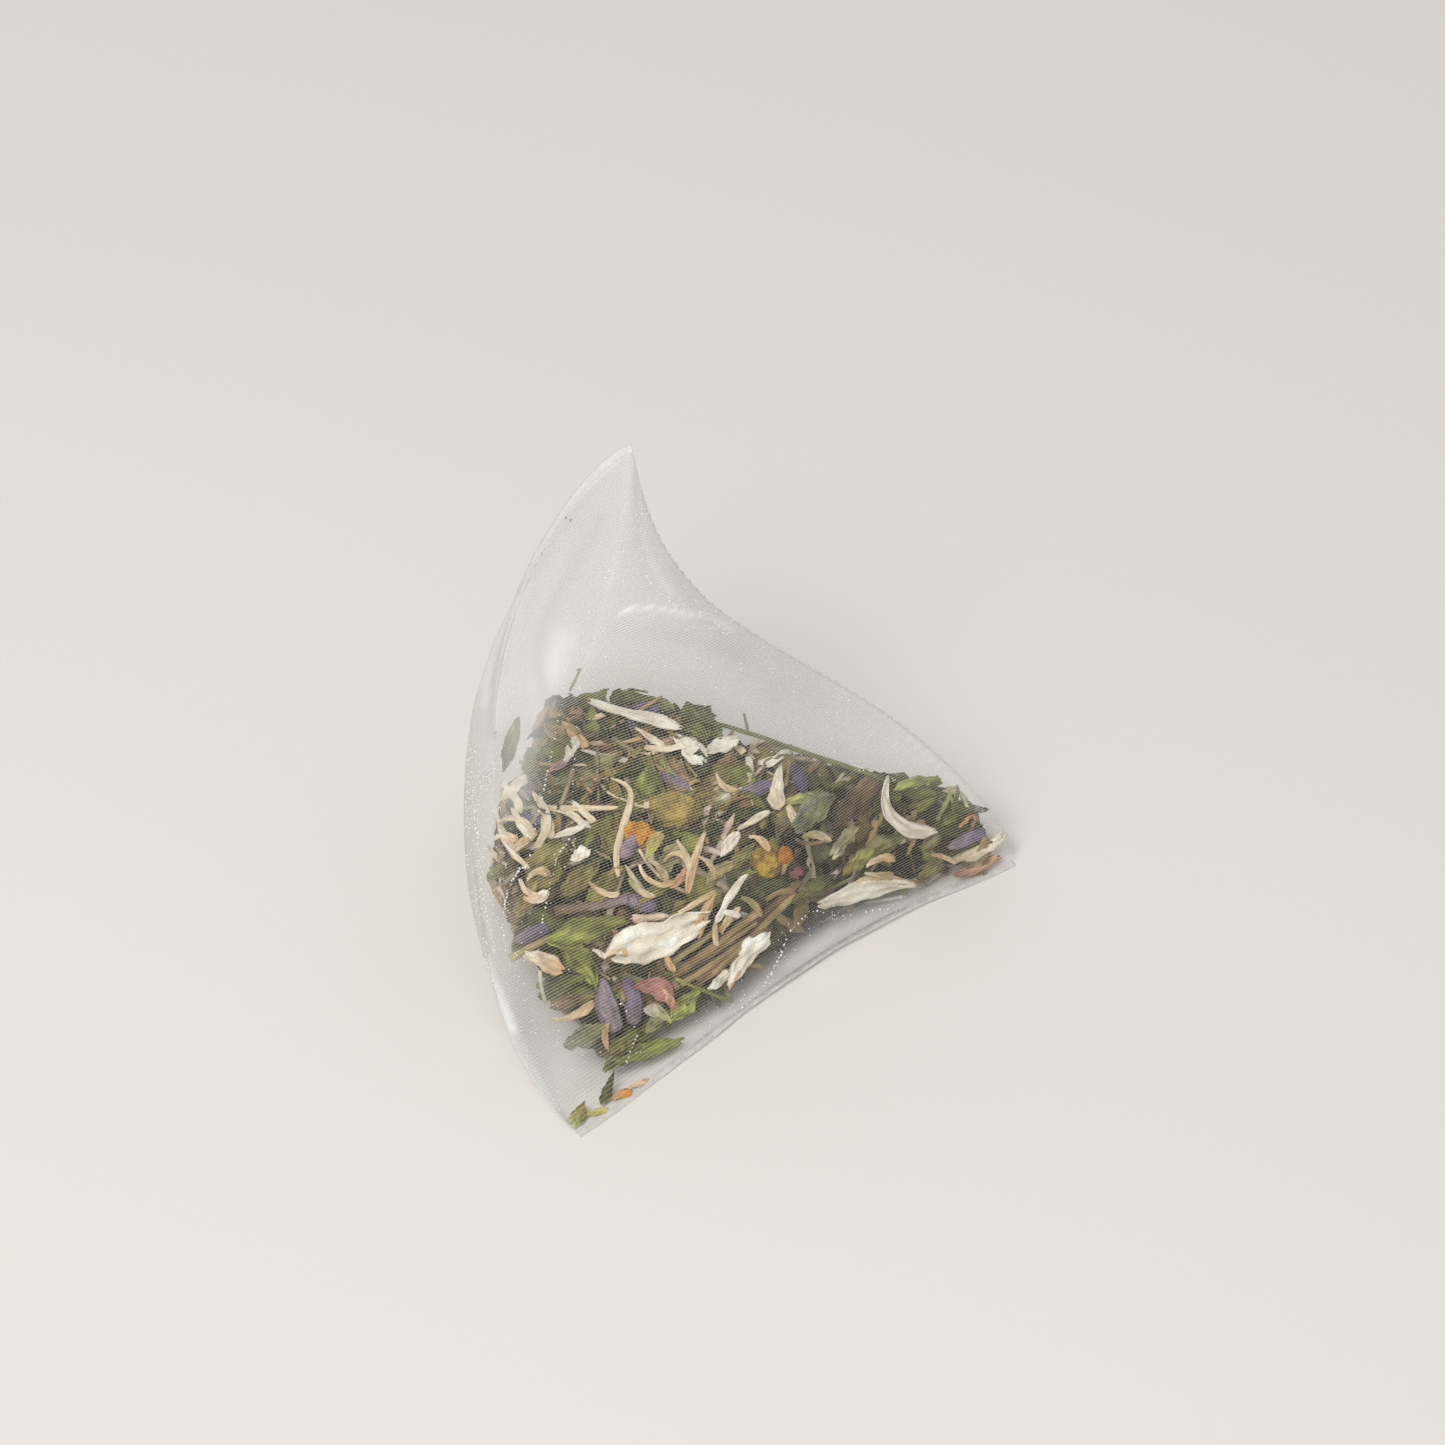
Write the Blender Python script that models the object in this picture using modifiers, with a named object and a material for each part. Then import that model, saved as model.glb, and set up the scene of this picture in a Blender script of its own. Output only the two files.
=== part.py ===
"""Pyramid tea bag of woven mesh, filled with cut herbs and flowers.

A sheet of fine mesh is rolled into a tube with a lap seam, then welded flat
across both ends. The two welds are turned a quarter turn to each other, so the
tube stands up as a soft tetrahedron. One weld lies on the table in front, from
the near corner to the right corner. The other rises at the back left, from the
left corner on the table to the free top corner. The herbs have run down into
the bottom and hold the cloth out there, and the empty top corner has sagged.

All sizes are in metres, with +Z up.
"""
import math

import bmesh
import bpy
import numpy as np
from mathutils import Matrix, Vector
from mathutils.bvhtree import BVHTree

# The flat bag
BAG_WIDTH = 0.058            # length of each end weld, half the tube's girth
TUBE_LENGTH = 0.057          # cloth between the two end welds
CLOTH_WALL = 0.00015         # thickness of the woven mesh
WELD_REACH = 0.0014          # how far a weld stands out past the pocket
WELD_THICKNESS = 0.0006      # both layers, melted together
WELD_OVERLAP = 0.0004        # how far a weld reaches in over the layers
WELD_LIFT = 0.00005          # a weld's least height over the table
LAP_WIDTH = 0.002            # overlap of the lap seam
LAP_GAP = 0.0003             # space between its two layers
FIT_GAP = 0.0003             # space between pieces that touch

# How the filled bag stands
EDGE_SLACK = 0.12            # share by which a soft edge is bowed or buckled
FRONT_WELD_HEADING = 40.5    # degrees from +X, near corner to right corner
LEFT_EDGE_HEADING = 100.7    # degrees from +X, near corner to left corner
TOP_WELD_HEADING = -41.5     # degrees from +X, left corner to top corner
TOP_WELD_RISE = 69.0         # degrees up from the table
FRONT_WELD_BOW = (0.0, 0.0034, 0.0006)
TOP_WELD_BOW = (-0.0042, 0.0, 0.0004)

# The herbs
PIECE_ROOM = 0.0037          # layer of larger pieces between cloth and heap
HEAP_TOP_LEFT = 0.0190       # height of the heap's top over the left corner
HEAP_TOP_RIGHT = 0.0130      # and over the right corner
HEAP_ENDS = (0.055, 0.90)    # part of the tube that the heap fills
HEAP_TAPER = 0.12            # part over which its ends come closer to the cloth
HEAP_ROOM_SHARES = (1.0, 1.0, 0.9, 0.05, 0.0, 0.0, 0.1, 0.7)    # at the cloth's lines
LIFT = 0.0008                # how far a piece is held off the heap
CLOTH_TO_HEAP = 0.0080       # a heap deeper than this shows its top, not its side
BLADE_CUP = 0.0002           # how far a blade's sides bend down
BLADE_CURL = 0.0003          # how far its ends do
LEAF_THICKNESS = 0.00025
PETAL_THICKNESS = 0.0003

# The photograph, which says where each herb shows
PHOTO_WELD_PIXELS = 589.0    # true length of a weld, in its pixels
PHOTO_CORNER = (577.0, 1136.0)
PHOTO_RISE = 45.0            # degrees by which the view looks down
PIXEL = BAG_WIDTH / PHOTO_WELD_PIXELS

SPAN_STEPS = 4               # faces between two of the bag's eight lines
ROWS_ALONG = 16

GREEN = (0.10, 0.16, 0.045)
DARK_GREEN = (0.045, 0.075, 0.03)
PALE_GREEN = (0.24, 0.30, 0.13)
GREY_GREEN = (0.20, 0.24, 0.16)
CREAM = (0.72, 0.62, 0.46)
WHITE = (0.80, 0.75, 0.66)
VIOLET = (0.13, 0.095, 0.22)
ORANGE = (0.72, 0.30, 0.03)
TAN = (0.42, 0.31, 0.17)
PINK = (0.38, 0.14, 0.12)
STRAW = (0.46, 0.40, 0.25)


def clear_scene():
    for item in list(bpy.data.objects):
        bpy.data.objects.remove(item, do_unlink=True)


def make_collection(name):
    collection = bpy.data.collections.new(name)
    bpy.context.scene.collection.children.link(collection)
    return collection


def make_material(name, colour, roughness, alpha=1.0):
    material = bpy.data.materials.new(name)
    material.use_nodes = True
    shader = material.node_tree.nodes["Principled BSDF"]
    shader.inputs["Base Color"].default_value = (*colour, 1.0)
    shader.inputs["Roughness"].default_value = roughness
    shader.inputs["Metallic"].default_value = 0.0
    shader.inputs["Alpha"].default_value = alpha
    return material


def direction(heading, rise=0.0):
    """Unit vector from two angles in degrees."""
    level = math.cos(math.radians(rise))
    turn = math.radians(heading)
    return np.array([level * math.cos(turn), level * math.sin(turn),
                     math.sin(math.radians(rise))])


def hump(at, peak, width):
    """A smooth bump that is 0 at both ends of 0 to 1, and 1 at its peak."""
    at = np.clip(at, 1e-6, 1.0 - 1e-6)
    rising = (at / peak) ** (width * peak)
    falling = ((1.0 - at) / (1.0 - peak)) ** (width * (1.0 - peak))
    return rising * falling


SOFT_EDGE = math.hypot(TUBE_LENGTH, BAG_WIDTH / 2) * (1.0 - EDGE_SLACK)
NEAR = np.zeros(3)
RIGHT = NEAR + BAG_WIDTH * direction(FRONT_WELD_HEADING)
LEFT = NEAR + SOFT_EDGE * direction(LEFT_EDGE_HEADING)
TOP = LEFT + BAG_WIDTH * direction(TOP_WELD_HEADING, TOP_WELD_RISE)

# Eight lines run from the front weld to the top weld: the tube's four folds
# and the middles of its four faces. Each gives its place on the two welds as a
# share of their length, and how the cloth stands off the straight line there:
# where along the line the bump has its peak, how narrow it is, and the offset.
CLOTH_LINES = (
    ("front left fold", 0.0, 0.0,
     ((0.30, 3.0, (-0.0080, -0.0008, 0.0008)),)),
    ("front face", 0.5, 0.0,
     ((0.36, 2.4, (0.0020, -0.0050, 0.0048)), (0.78, 8.0, (-0.0020, 0.0002, -0.0014)))),
    ("front right fold", 1.0, 0.0,
     ((0.22, 2.4, (0.0016, 0.0008, 0.0016)), (0.74, 5.0, (-0.0038, -0.0022, -0.0028)))),
    ("back face", 1.0, 0.5,
     ((0.45, 2.0, (-0.0010, -0.0020, 0.0)), (0.80, 6.0, (-0.0006, -0.0012, 0.0)))),
    ("back bottom fold", 1.0, 1.0,
     ((0.50, 2.4, (-0.0004, -0.0020, -0.0020)),)),
    ("bottom face", 0.5, 1.0,
     ((0.40, 1.2, (0.0, 0.0, -0.0020)),)),
    ("left bottom fold", 0.0, 1.0,
     ((0.40, 2.0, (-0.0035, 0.0, -0.0020)),)),
    ("left face", 0.0, 0.5,
     ((0.52, 1.8, (-0.0078, 0.0, 0.0006)),)),
)


def front_weld(share):
    """Points along the front weld, near corner first."""
    share = np.atleast_1d(share)[:, None]
    bow = hump(share, 0.56, 3.0) * np.array(FRONT_WELD_BOW)
    return NEAR + share * (RIGHT - NEAR) + bow


def top_weld(share):
    """Points along the top weld, top corner first."""
    share = np.atleast_1d(share)[:, None]
    bow = hump(share, 0.42, 1.6) * np.array(TOP_WELD_BOW)
    return TOP + share * (LEFT - TOP) + bow


def cloth_line(line, along):
    """Points of one of the eight lines, at the given shares of its length."""
    _, front_share, top_share, bumps = line
    share = along[:, None]
    points = (1.0 - share) * front_weld(front_share) + share * top_weld(top_share)
    for peak, width, offset in bumps:
        points = points + hump(share, peak, width) * np.array(offset)
    return points


def span_curves(along):
    """Corner points and tangents of the closed curve through the eight lines.

    A tangent is as long as the shorter of its two neighbouring chords, so the
    curve turns tightly where two lines come together at a corner of the bag.
    """
    points = np.array([cloth_line(line, along) for line in CLOTH_LINES])
    before, after = np.roll(points, 1, axis=0), np.roll(points, -1, axis=0)
    chord_in = np.linalg.norm(points - before, axis=2, keepdims=True)
    chord_out = np.linalg.norm(after - points, axis=2, keepdims=True)
    across = np.linalg.norm(after - before, axis=2, keepdims=True) + 1e-12
    tangents = (after - before) / across * np.minimum(chord_in, chord_out)
    return points, tangents


def ring_points(along, around):
    """Points on the smooth closed curves through the eight lines."""
    points, tangents = span_curves(along)
    first = np.floor(around).astype(int) % 8
    second = (first + 1) % 8
    row = np.arange(len(along))[:, None]
    u = (around - np.floor(around))[..., None]
    return ((2 * u ** 3 - 3 * u ** 2 + 1) * points[first, row]
            + (u ** 3 - 2 * u ** 2 + u) * tangents[first, row]
            + (3 * u ** 2 - 2 * u ** 3) * points[second, row]
            + (u ** 3 - u ** 2) * tangents[second, row])


def cloth_points(along, around):
    """Grid of points on the cloth.

    along runs from 0 at the front weld to 1 at the top weld. around counts the
    eight lines, and 8 is back at the first. Each may be a row of values, and
    around may also differ from row to row. The two end rings lie on the welds.
    """
    along = np.asarray(along, dtype=float)
    around = np.broadcast_to(around, (len(along), np.shape(around)[-1]))
    grid = ring_points(along, around)
    share = along[:, None, None]
    for weld, column, end, weight in ((front_weld, 1, 0.0, 1.0 - share),
                                      (top_weld, 2, 1.0, share)):
        shares = [line[column] for line in CLOTH_LINES]
        place = np.interp(around % 8.0, range(9), shares + shares[:1])
        on_weld = weld(place.ravel()).reshape(grid.shape)
        grid = grid + weight * (on_weld - ring_points(np.full(len(along), end), around))
    grid[..., 2] = np.maximum(grid[..., 2], CLOTH_WALL)
    return grid


def grid_normals(grid):
    """Outward unit normals of a grid of points on the cloth."""
    along = np.gradient(grid, axis=0)
    around = np.gradient(grid, axis=1)
    normals = np.cross(around, along)
    return normals / (np.linalg.norm(normals, axis=2, keepdims=True) + 1e-15)


def grid_faces(rows, columns, closed):
    """Four-sided faces of a grid, turned outward, joined round if closed."""
    faces = []
    last = columns if closed else columns - 1
    for row in range(rows - 1):
        for column in range(last):
            right = (column + 1) % columns
            faces.append((row * columns + column, row * columns + right,
                          (row + 1) * columns + right, (row + 1) * columns + column))
    return faces


def mesh_object(name, points, faces, collection, material=None):
    mesh = bpy.data.meshes.new(name)
    mesh.from_pydata([tuple(point) for point in points], [], faces)
    mesh.shade_smooth()
    item = bpy.data.objects.new(name, mesh)
    collection.objects.link(item)
    if material is not None:
        mesh.materials.append(material)
    return item


def cloth_rows():
    """Shares along the tube, closer together near the welds."""
    end = 0.004
    even = np.linspace(0.0, 1.0, ROWS_ALONG)
    eased = 0.5 - 0.5 * np.cos(np.pi * even)
    return end + (1.0 - 2.0 * end) * (0.35 * even + 0.65 * eased)


def sheet_grid():
    """The rolled sheet, from the lap's inner edge round to its outer edge."""
    along = cloth_rows()
    turn = np.linspace(0.0, 8.0, 8 * SPAN_STEPS + 1)
    points, _ = span_curves(along)
    first_span = np.linalg.norm(points[1] - points[0], axis=1)
    lap = np.minimum(LAP_WIDTH / (first_span + 1e-9), 0.6)
    lap_turns = 8.0 + np.stack([0.5 * lap, lap], axis=1)
    around = np.concatenate([np.tile(turn, (len(along), 1)), lap_turns], axis=1)
    grid = cloth_points(along, around)
    normals = grid_normals(cloth_points(along, around))
    raise_by = np.zeros(around.shape[1])
    raise_by[-3:] = CLOTH_WALL + LAP_GAP
    return grid + normals * raise_by[None, :, None]


def weld_bar(name, curve, outward, collection):
    """A flat bar along a weld, from its free edge to just over the pocket."""
    steps = 24
    points = curve(np.linspace(0.0, 1.0, steps + 1))
    tangent = np.gradient(points, axis=0)
    tangent /= np.linalg.norm(tangent, axis=1, keepdims=True)
    across = outward - tangent * (tangent @ outward)[:, None]
    across /= np.linalg.norm(across, axis=1, keepdims=True)
    upright = np.cross(tangent, across) * WELD_THICKNESS / 2
    rings = np.stack([points + across * WELD_REACH + upright,
                      points + across * WELD_REACH - upright,
                      points - across * WELD_OVERLAP - upright,
                      points - across * WELD_OVERLAP + upright], axis=1)
    rings[..., 2] = np.maximum(rings[..., 2], WELD_LIFT)
    faces = grid_faces(steps + 1, 4, closed=True)
    faces += [(3, 2, 1, 0), tuple(steps * 4 + corner for corner in range(4))]
    bar = mesh_object(name, rings.reshape(-1, 3), faces, collection)
    outward_faces(bar.data)
    bar.hide_render = True
    bar.display_type = "WIRE"
    return bar


def outward_faces(mesh):
    """Turns the faces of a closed mesh outward."""
    shape = bmesh.new()
    shape.from_mesh(mesh)
    bmesh.ops.recalc_face_normals(shape, faces=shape.faces)
    shape.to_mesh(mesh)
    shape.free()


def add_union(item, other):
    modifier = item.modifiers.new("join_" + other.name, "BOOLEAN")
    modifier.operation = "UNION"
    modifier.solver = "MANIFOLD"
    modifier.object = other


def build_bag(parts, cutters):
    grid = sheet_grid()
    rows, columns = grid.shape[:2]
    material = make_material("mesh_cloth", (0.86, 0.86, 0.87), 0.35, alpha=0.35)
    bag = mesh_object("mesh_bag", grid.reshape(-1, 3), grid_faces(rows, columns, False),
                      parts, material)
    solidify = bag.modifiers.new("cloth_wall", "SOLIDIFY")
    solidify.thickness = CLOTH_WALL
    solidify.offset = 1.0
    front_out = direction(FRONT_WELD_HEADING - 90.0)
    top_out = direction(TOP_WELD_HEADING + 180.0, 90.0 - TOP_WELD_RISE)
    top_out = 0.45 * top_out + 0.9 * direction(FRONT_WELD_HEADING + 90.0)
    add_union(bag, weld_bar("front_weld_bar", front_weld, front_out, cutters))
    add_union(bag, weld_bar("top_weld_bar", top_weld, top_out, cutters))
    return bag


def heap_room(along, around):
    """Space between the cloth and the heap, widest where larger pieces lie."""
    shares = np.interp(around, range(9), HEAP_ROOM_SHARES + HEAP_ROOM_SHARES[:1])
    from_end = np.minimum(along - HEAP_ENDS[0], HEAP_ENDS[1] - along)
    taper = np.interp(from_end, (0.0, HEAP_TAPER), (0.8, 1.0))
    seat = CLOTH_WALL + FIT_GAP
    return seat + (PIECE_ROOM - seat) * np.outer(taper, shares)[..., None]


def build_heap(parts):
    """The small cut herb, as one body that fills the bottom of the bag."""
    along = cloth_rows()
    along = along[(along > HEAP_ENDS[0]) & (along < HEAP_ENDS[1])]
    around = np.linspace(0.0, 8.0, 8 * SPAN_STEPS + 1)[:-1]
    grid = cloth_points(along, around)
    middle = grid.mean(axis=1, keepdims=True)
    reach = np.sum(grid_normals(grid) * (grid - middle), axis=2, keepdims=True)
    reach = np.maximum(reach, FIT_GAP)
    room = heap_room(along, around)
    grid = middle + (grid - middle) * np.maximum(1.0 - room / reach, 0.1)
    grid[..., 2] = np.maximum(grid[..., 2], CLOTH_WALL + FIT_GAP)
    rows, columns = grid.shape[:2]
    faces = grid_faces(rows, columns, closed=True)
    faces.append(tuple(reversed(range(columns))))
    faces.append(tuple((rows - 1) * columns + column for column in range(columns)))
    material = make_material("cut_herb", (0.20, 0.18, 0.09), 0.9)
    heap = mesh_object("cut_herb_heap", grid.reshape(-1, 3), faces, parts, material)
    level_heap_top(heap.data)
    return heap


def level_heap_top(mesh):
    """Cuts the heap off at its sloping top and closes it there."""
    left = Vector(LEFT) + Vector((0.0, 0.0, HEAP_TOP_LEFT))
    right = Vector(RIGHT) + Vector((0.0, 0.0, HEAP_TOP_RIGHT))
    near = Vector(NEAR) + Vector((0.0, 0.0, HEAP_TOP_LEFT))
    normal = (right - near).cross(left - near).normalized()
    shape = bmesh.new()
    shape.from_mesh(mesh)
    everything = list(shape.verts) + list(shape.edges) + list(shape.faces)
    cut = bmesh.ops.bisect_plane(shape, geom=everything, plane_co=near, plane_no=normal,
                                 clear_outer=True)
    rim = [part for part in cut["geom_cut"] if isinstance(part, bmesh.types.BMEdge)]
    bmesh.ops.contextual_create(shape, geom=rim)
    bmesh.ops.recalc_face_normals(shape, faces=shape.faces)
    if shape.calc_volume(signed=True) < 0.0:
        bmesh.ops.reverse_faces(shape, faces=shape.faces)
    shape.to_mesh(mesh)
    shape.free()


class Seats:
    """Finds where a piece that shows in the photograph lies.

    A piece over the heap's sloping side is pressed against the cloth, so it is
    held just inside the cloth. One that shows through the empty part of the bag
    lies on top of the heap.
    """

    def __init__(self, heap):
        grid = cloth_points(cloth_rows(), np.linspace(0.0, 8.0, 8 * SPAN_STEPS + 1)[:-1])
        rows, columns = grid.shape[:2]
        self.cloth = BVHTree.FromPolygons([tuple(point) for point in grid.reshape(-1, 3)],
                                          grid_faces(rows, columns, closed=True))
        self.heap = BVHTree.FromPolygons([vertex.co for vertex in heap.data.vertices],
                                         [list(face.vertices) for face in heap.data.polygons])
        self.sight = Vector(direction(90.0, -PHOTO_RISE))
        self.up = Vector(direction(90.0, 90.0 - PHOTO_RISE))

    def picture_point(self, pixel):
        """Point in the picture's plane through the near corner."""
        across = (pixel[0] - PHOTO_CORNER[0]) * PIXEL
        up = (PHOTO_CORNER[1] - pixel[1]) * PIXEL
        return Vector((across, 0.0, 0.0)) + up * self.up

    def find(self, pixel, height):
        """Where the underside of a piece of this height goes, and which way is up."""
        start = self.picture_point(pixel) - self.sight * BAG_WIDTH
        cloth, cloth_normal, _, _ = self.cloth.ray_cast(start, self.sight)
        heap, heap_normal, _, _ = self.heap.ray_cast(start, self.sight)
        if cloth is None:
            raise ValueError(f"no cloth behind pixel {pixel}")
        if heap is None or (heap - cloth).dot(self.sight) < CLOTH_TO_HEAP:
            return cloth - cloth_normal * (FIT_GAP + height), cloth_normal
        return heap + heap_normal * LIFT, heap_normal

    def frame(self, tail, tip, height):
        """Placement midway between two pixels, its X axis toward the second."""
        middle = [(a + b) / 2 for a, b in zip(tail, tip)]
        place, normal = self.find(middle, height)
        ahead = self.picture_point(tip) - self.picture_point(tail)
        ahead -= self.sight * ahead.dot(normal) / self.sight.dot(normal)
        ahead.normalize()
        side = normal.cross(ahead)
        turn = Matrix((ahead, side, normal)).transposed().to_4x4()
        return Matrix.Translation(place) @ turn


def blade_mesh(name, outline, length, width, cup, curl, thickness):
    """A leaf or petal: a strip of faces bent down at its ends and its sides."""
    shares = np.linspace(0.0, 1.0, 8)
    sides = np.linspace(-1.0, 1.0, 5)
    half = outline(shares) * width / 2
    x = np.repeat((shares - 0.5) * length, 5)
    y = np.outer(half, sides).ravel()
    z = -cup * y ** 2 / (width / 2) ** 2 - curl * (2 * x / length) ** 2
    faces = grid_faces(8, 5, closed=False)
    mesh = bpy.data.meshes.new(name)
    mesh.from_pydata(list(zip(x, y, z + thickness / 2)), [], faces)
    outward_faces(mesh)
    mesh.shade_smooth()
    return mesh


def leaf_outline(share):
    return 0.16 + 0.84 * np.sin(np.pi * share ** 0.8) ** 0.8


def petal_outline(share):
    return 0.22 + 0.78 * np.sin(np.pi * share ** 1.3) ** 0.9


def strip_outline(share):
    return 0.8 + 0.2 * np.cos(5.0 * share)


def make_blade(name, outline, size, place, parts, material, thickness, cup, curl):
    mesh = blade_mesh(name, outline, *size, cup, curl, thickness)
    mesh.materials.append(material)
    item = bpy.data.objects.new(name, mesh)
    parts.objects.link(item)
    item.matrix_world = place
    solidify = item.modifiers.new("thickness", "SOLIDIFY")
    solidify.thickness = thickness
    solidify.offset = 0.0
    return item


def turned_mesh(name, profile, sides):
    """A closed body turned about its own X axis, from (along, radius) points."""
    shape = bmesh.new()
    rings = []
    for along, radius in profile:
        if radius == 0.0:
            rings.append([shape.verts.new((along, 0.0, 0.0))])
            continue
        rings.append([shape.verts.new((along, radius * math.cos(turn), radius * math.sin(turn)))
                      for turn in (2 * math.pi * side / sides for side in range(sides))])
    for first, second in zip(rings, rings[1:]):
        for side in range(sides):
            corners = [first[side % len(first)], first[(side + 1) % len(first)],
                       second[(side + 1) % len(second)], second[side % len(second)]]
            shape.faces.new(list(dict.fromkeys(corners)))
    bmesh.ops.recalc_face_normals(shape, faces=shape.faces)
    mesh = bpy.data.meshes.new(name)
    shape.to_mesh(mesh)
    shape.free()
    mesh.shade_smooth()
    return mesh


BUD_LENGTH = 0.0058
BUD_RADIUS = 0.0011
BUD_MOUTH = 0.0006


def bud_profile():
    """A ribbed calyx with its open mouth at the far end."""
    half = BUD_LENGTH / 2
    return ((-half, 0.0), (-half * 0.92, BUD_RADIUS * 0.45), (-half * 0.5, BUD_RADIUS * 0.8),
            (0.0, BUD_RADIUS), (half * 0.6, BUD_RADIUS * 0.85), (half, BUD_MOUTH),
            (half * 0.75, BUD_MOUTH * 0.5), (half * 0.6, 0.0))


HEAD_RADIUS = 0.0026
HEAD_HEIGHT = 0.0028


def head_profile():
    """A domed flower head, its flat underside at zero."""
    dome = [(0.0, 0.0), (0.0, HEAD_RADIUS * 0.8)]
    for step in range(5):
        turn = math.radians(12.0 + 18.0 * step)
        dome.append((HEAD_HEIGHT * math.sin(turn), HEAD_RADIUS * math.cos(turn)))
    dome.append((HEAD_HEIGHT, 0.0))
    return dome


def make_turned(name, profile, sides, place, parts, material):
    item = bpy.data.objects.new(name, turned_mesh(name, profile, sides))
    item.data.materials.append(material)
    parts.objects.link(item)
    item.matrix_world = place
    return item


def make_stem(name, length, radius, bend, place, parts, material):
    """A slightly bent stalk along its own X axis, with filled ends."""
    curve = bpy.data.curves.new(name, "CURVE")
    curve.dimensions = "3D"
    curve.bevel_depth = radius
    curve.bevel_resolution = 2
    curve.use_fill_caps = True
    spline = curve.splines.new("POLY")
    steps = 5
    spline.points.add(steps)
    for step in range(steps + 1):
        share = step / steps - 0.5
        rise = bend * (2 * share) ** 2
        spline.points[step].co = (share * length, 0.6 * rise, -0.8 * rise, 1.0)
    curve.materials.append(material)
    item = bpy.data.objects.new(name, curve)
    parts.objects.link(item)
    item.matrix_world = place
    return item


# Leaf pieces: name, tail pixel, tip pixel, length, width, colour
LEAVES = (
    ("leaf_dark_left", (534, 900), (610, 840), 0.0092, 0.0046, DARK_GREEN),
    ("leaf_blue_left", (562, 782), (612, 758), 0.0054, 0.0026, GREY_GREEN),
    ("leaf_top_left", (570, 716), (598, 694), 0.0035, 0.0020, DARK_GREEN),
    ("leaf_bright", (638, 808), (650, 768), 0.0042, 0.0024, GREEN),
    ("leaf_low_left", (560, 950), (616, 926), 0.0062, 0.0028, GREEN),
    ("leaf_bottom", (618, 1064), (668, 1044), 0.0052, 0.0022, DARK_GREEN),
    ("leaf_olive", (692, 794), (734, 770), 0.0046, 0.0026, GREEN),
    ("leaf_middle", (764, 908), (822, 886), 0.0062, 0.0022, DARK_GREEN),
    ("leaf_blue_right", (804, 828), (834, 802), 0.0040, 0.0024, GREY_GREEN),
    ("leaf_brown", (846, 828), (878, 788), 0.0050, 0.0030, TAN),
    ("leaf_serrated", (950, 822), (976, 800), 0.0034, 0.0022, DARK_GREEN),
    ("leaf_yellow_right", (900, 787), (932, 778), 0.0034, 0.0014, PALE_GREEN),
    ("leaf_yellow_low", (678, 1014), (702, 998), 0.0029, 0.0016, PALE_GREEN),
)

# Petals: name, tail pixel, tip pixel, length, width, colour
PETALS = (
    ("petal_wide", (622, 964), (690, 932), 0.0074, 0.0040, CREAM),
    ("petal_low", (716, 984), (772, 948), 0.0064, 0.0024, WHITE),
    ("petal_right", (830, 904), (904, 888), 0.0074, 0.0018, WHITE),
    ("petal_c_shaped", (888, 800), (912, 828), 0.0038, 0.0013, WHITE),
    ("petal_cluster", (658, 756), (728, 741), 0.0070, 0.0020, CREAM),
    ("petal_left", (532, 970), (560, 957), 0.0031, 0.0018, CREAM),
    ("petal_branching", (690, 884), (699, 846), 0.0040, 0.0015, CREAM),
    ("petal_far_right", (936, 850), (962, 840), 0.0028, 0.0013, WHITE),
    ("petal_pink_left", (642, 1002), (668, 986), 0.0031, 0.0018, PINK),
    ("petal_tangle", (502, 846), (522, 806), 0.0044, 0.0026, CREAM),
)

# Flat cut stalks: name, tail pixel, tip pixel, length, width, colour
STRIPS = (
    ("split_stalk_white", (600, 704), (674, 726), 0.0074, 0.0012, WHITE),
    ("split_stalk_pale", (777, 804), (781, 772), 0.0032, 0.0010, CREAM),
    ("stalk_flakes", (728, 856), (750, 820), 0.0042, 0.0011, TAN),
)

# Lavender buds: name, tail pixel, tip pixel
BUDS = (
    ("lavender_bud_1", (612, 968), (620, 1010)),
    ("lavender_bud_2", (664, 768), (688, 792)),
    ("lavender_bud_3", (742, 802), (772, 786)),
    ("lavender_bud_4", (516, 942), (552, 930)),
    ("lavender_bud_5", (630, 912), (656, 896)),
    ("lavender_bud_6", (626, 694), (656, 672)),
)

# Flower heads: name, pixel of the middle, colour
HEADS = (
    ("chamomile_head_left", (662, 826), ORANGE),
    ("chamomile_head_right", (782, 866), ORANGE),
)

# Round stalks: name, tail pixel, tip pixel, length, radius, bend, colour
STEMS = (
    ("stem_green_long", (758, 738), (874, 776), 0.0112, 0.00035, 0.0008, GREEN),
    ("stem_grey_bundle", (690, 950), (746, 912), 0.0066, 0.00045, 0.0003, STRAW),
    ("stem_cream_thin", (614, 868), (618, 802), 0.0066, 0.00030, 0.0005, CREAM),
)


def build_leaves(seats, parts):
    for name, tail, tip, length, width, colour in LEAVES:
        place = seats.frame(tail, tip, LEAF_THICKNESS)
        make_blade(name, leaf_outline, (length, width), place, parts,
                   make_material(name, colour, 0.8), LEAF_THICKNESS, BLADE_CUP, BLADE_CURL)


def build_petals(seats, parts):
    for name, tail, tip, length, width, colour in PETALS:
        place = seats.frame(tail, tip, PETAL_THICKNESS)
        make_blade(name, petal_outline, (length, width), place, parts,
                   make_material(name, colour, 0.75), PETAL_THICKNESS, BLADE_CUP, BLADE_CURL)


def build_strips(seats, parts):
    for name, tail, tip, length, width, colour in STRIPS:
        place = seats.frame(tail, tip, PETAL_THICKNESS)
        make_blade(name, strip_outline, (length, width), place, parts,
                   make_material(name, colour, 0.7), PETAL_THICKNESS, BLADE_CUP, 0.0)


def build_buds(seats, parts):
    material = make_material("lavender", VIOLET, 0.85)
    middle = Matrix.Translation((0.0, 0.0, BUD_RADIUS))
    for name, tail, tip in BUDS:
        place = seats.frame(tail, tip, 2 * BUD_RADIUS) @ middle
        make_turned(name, bud_profile(), 10, place, parts, material)


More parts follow.
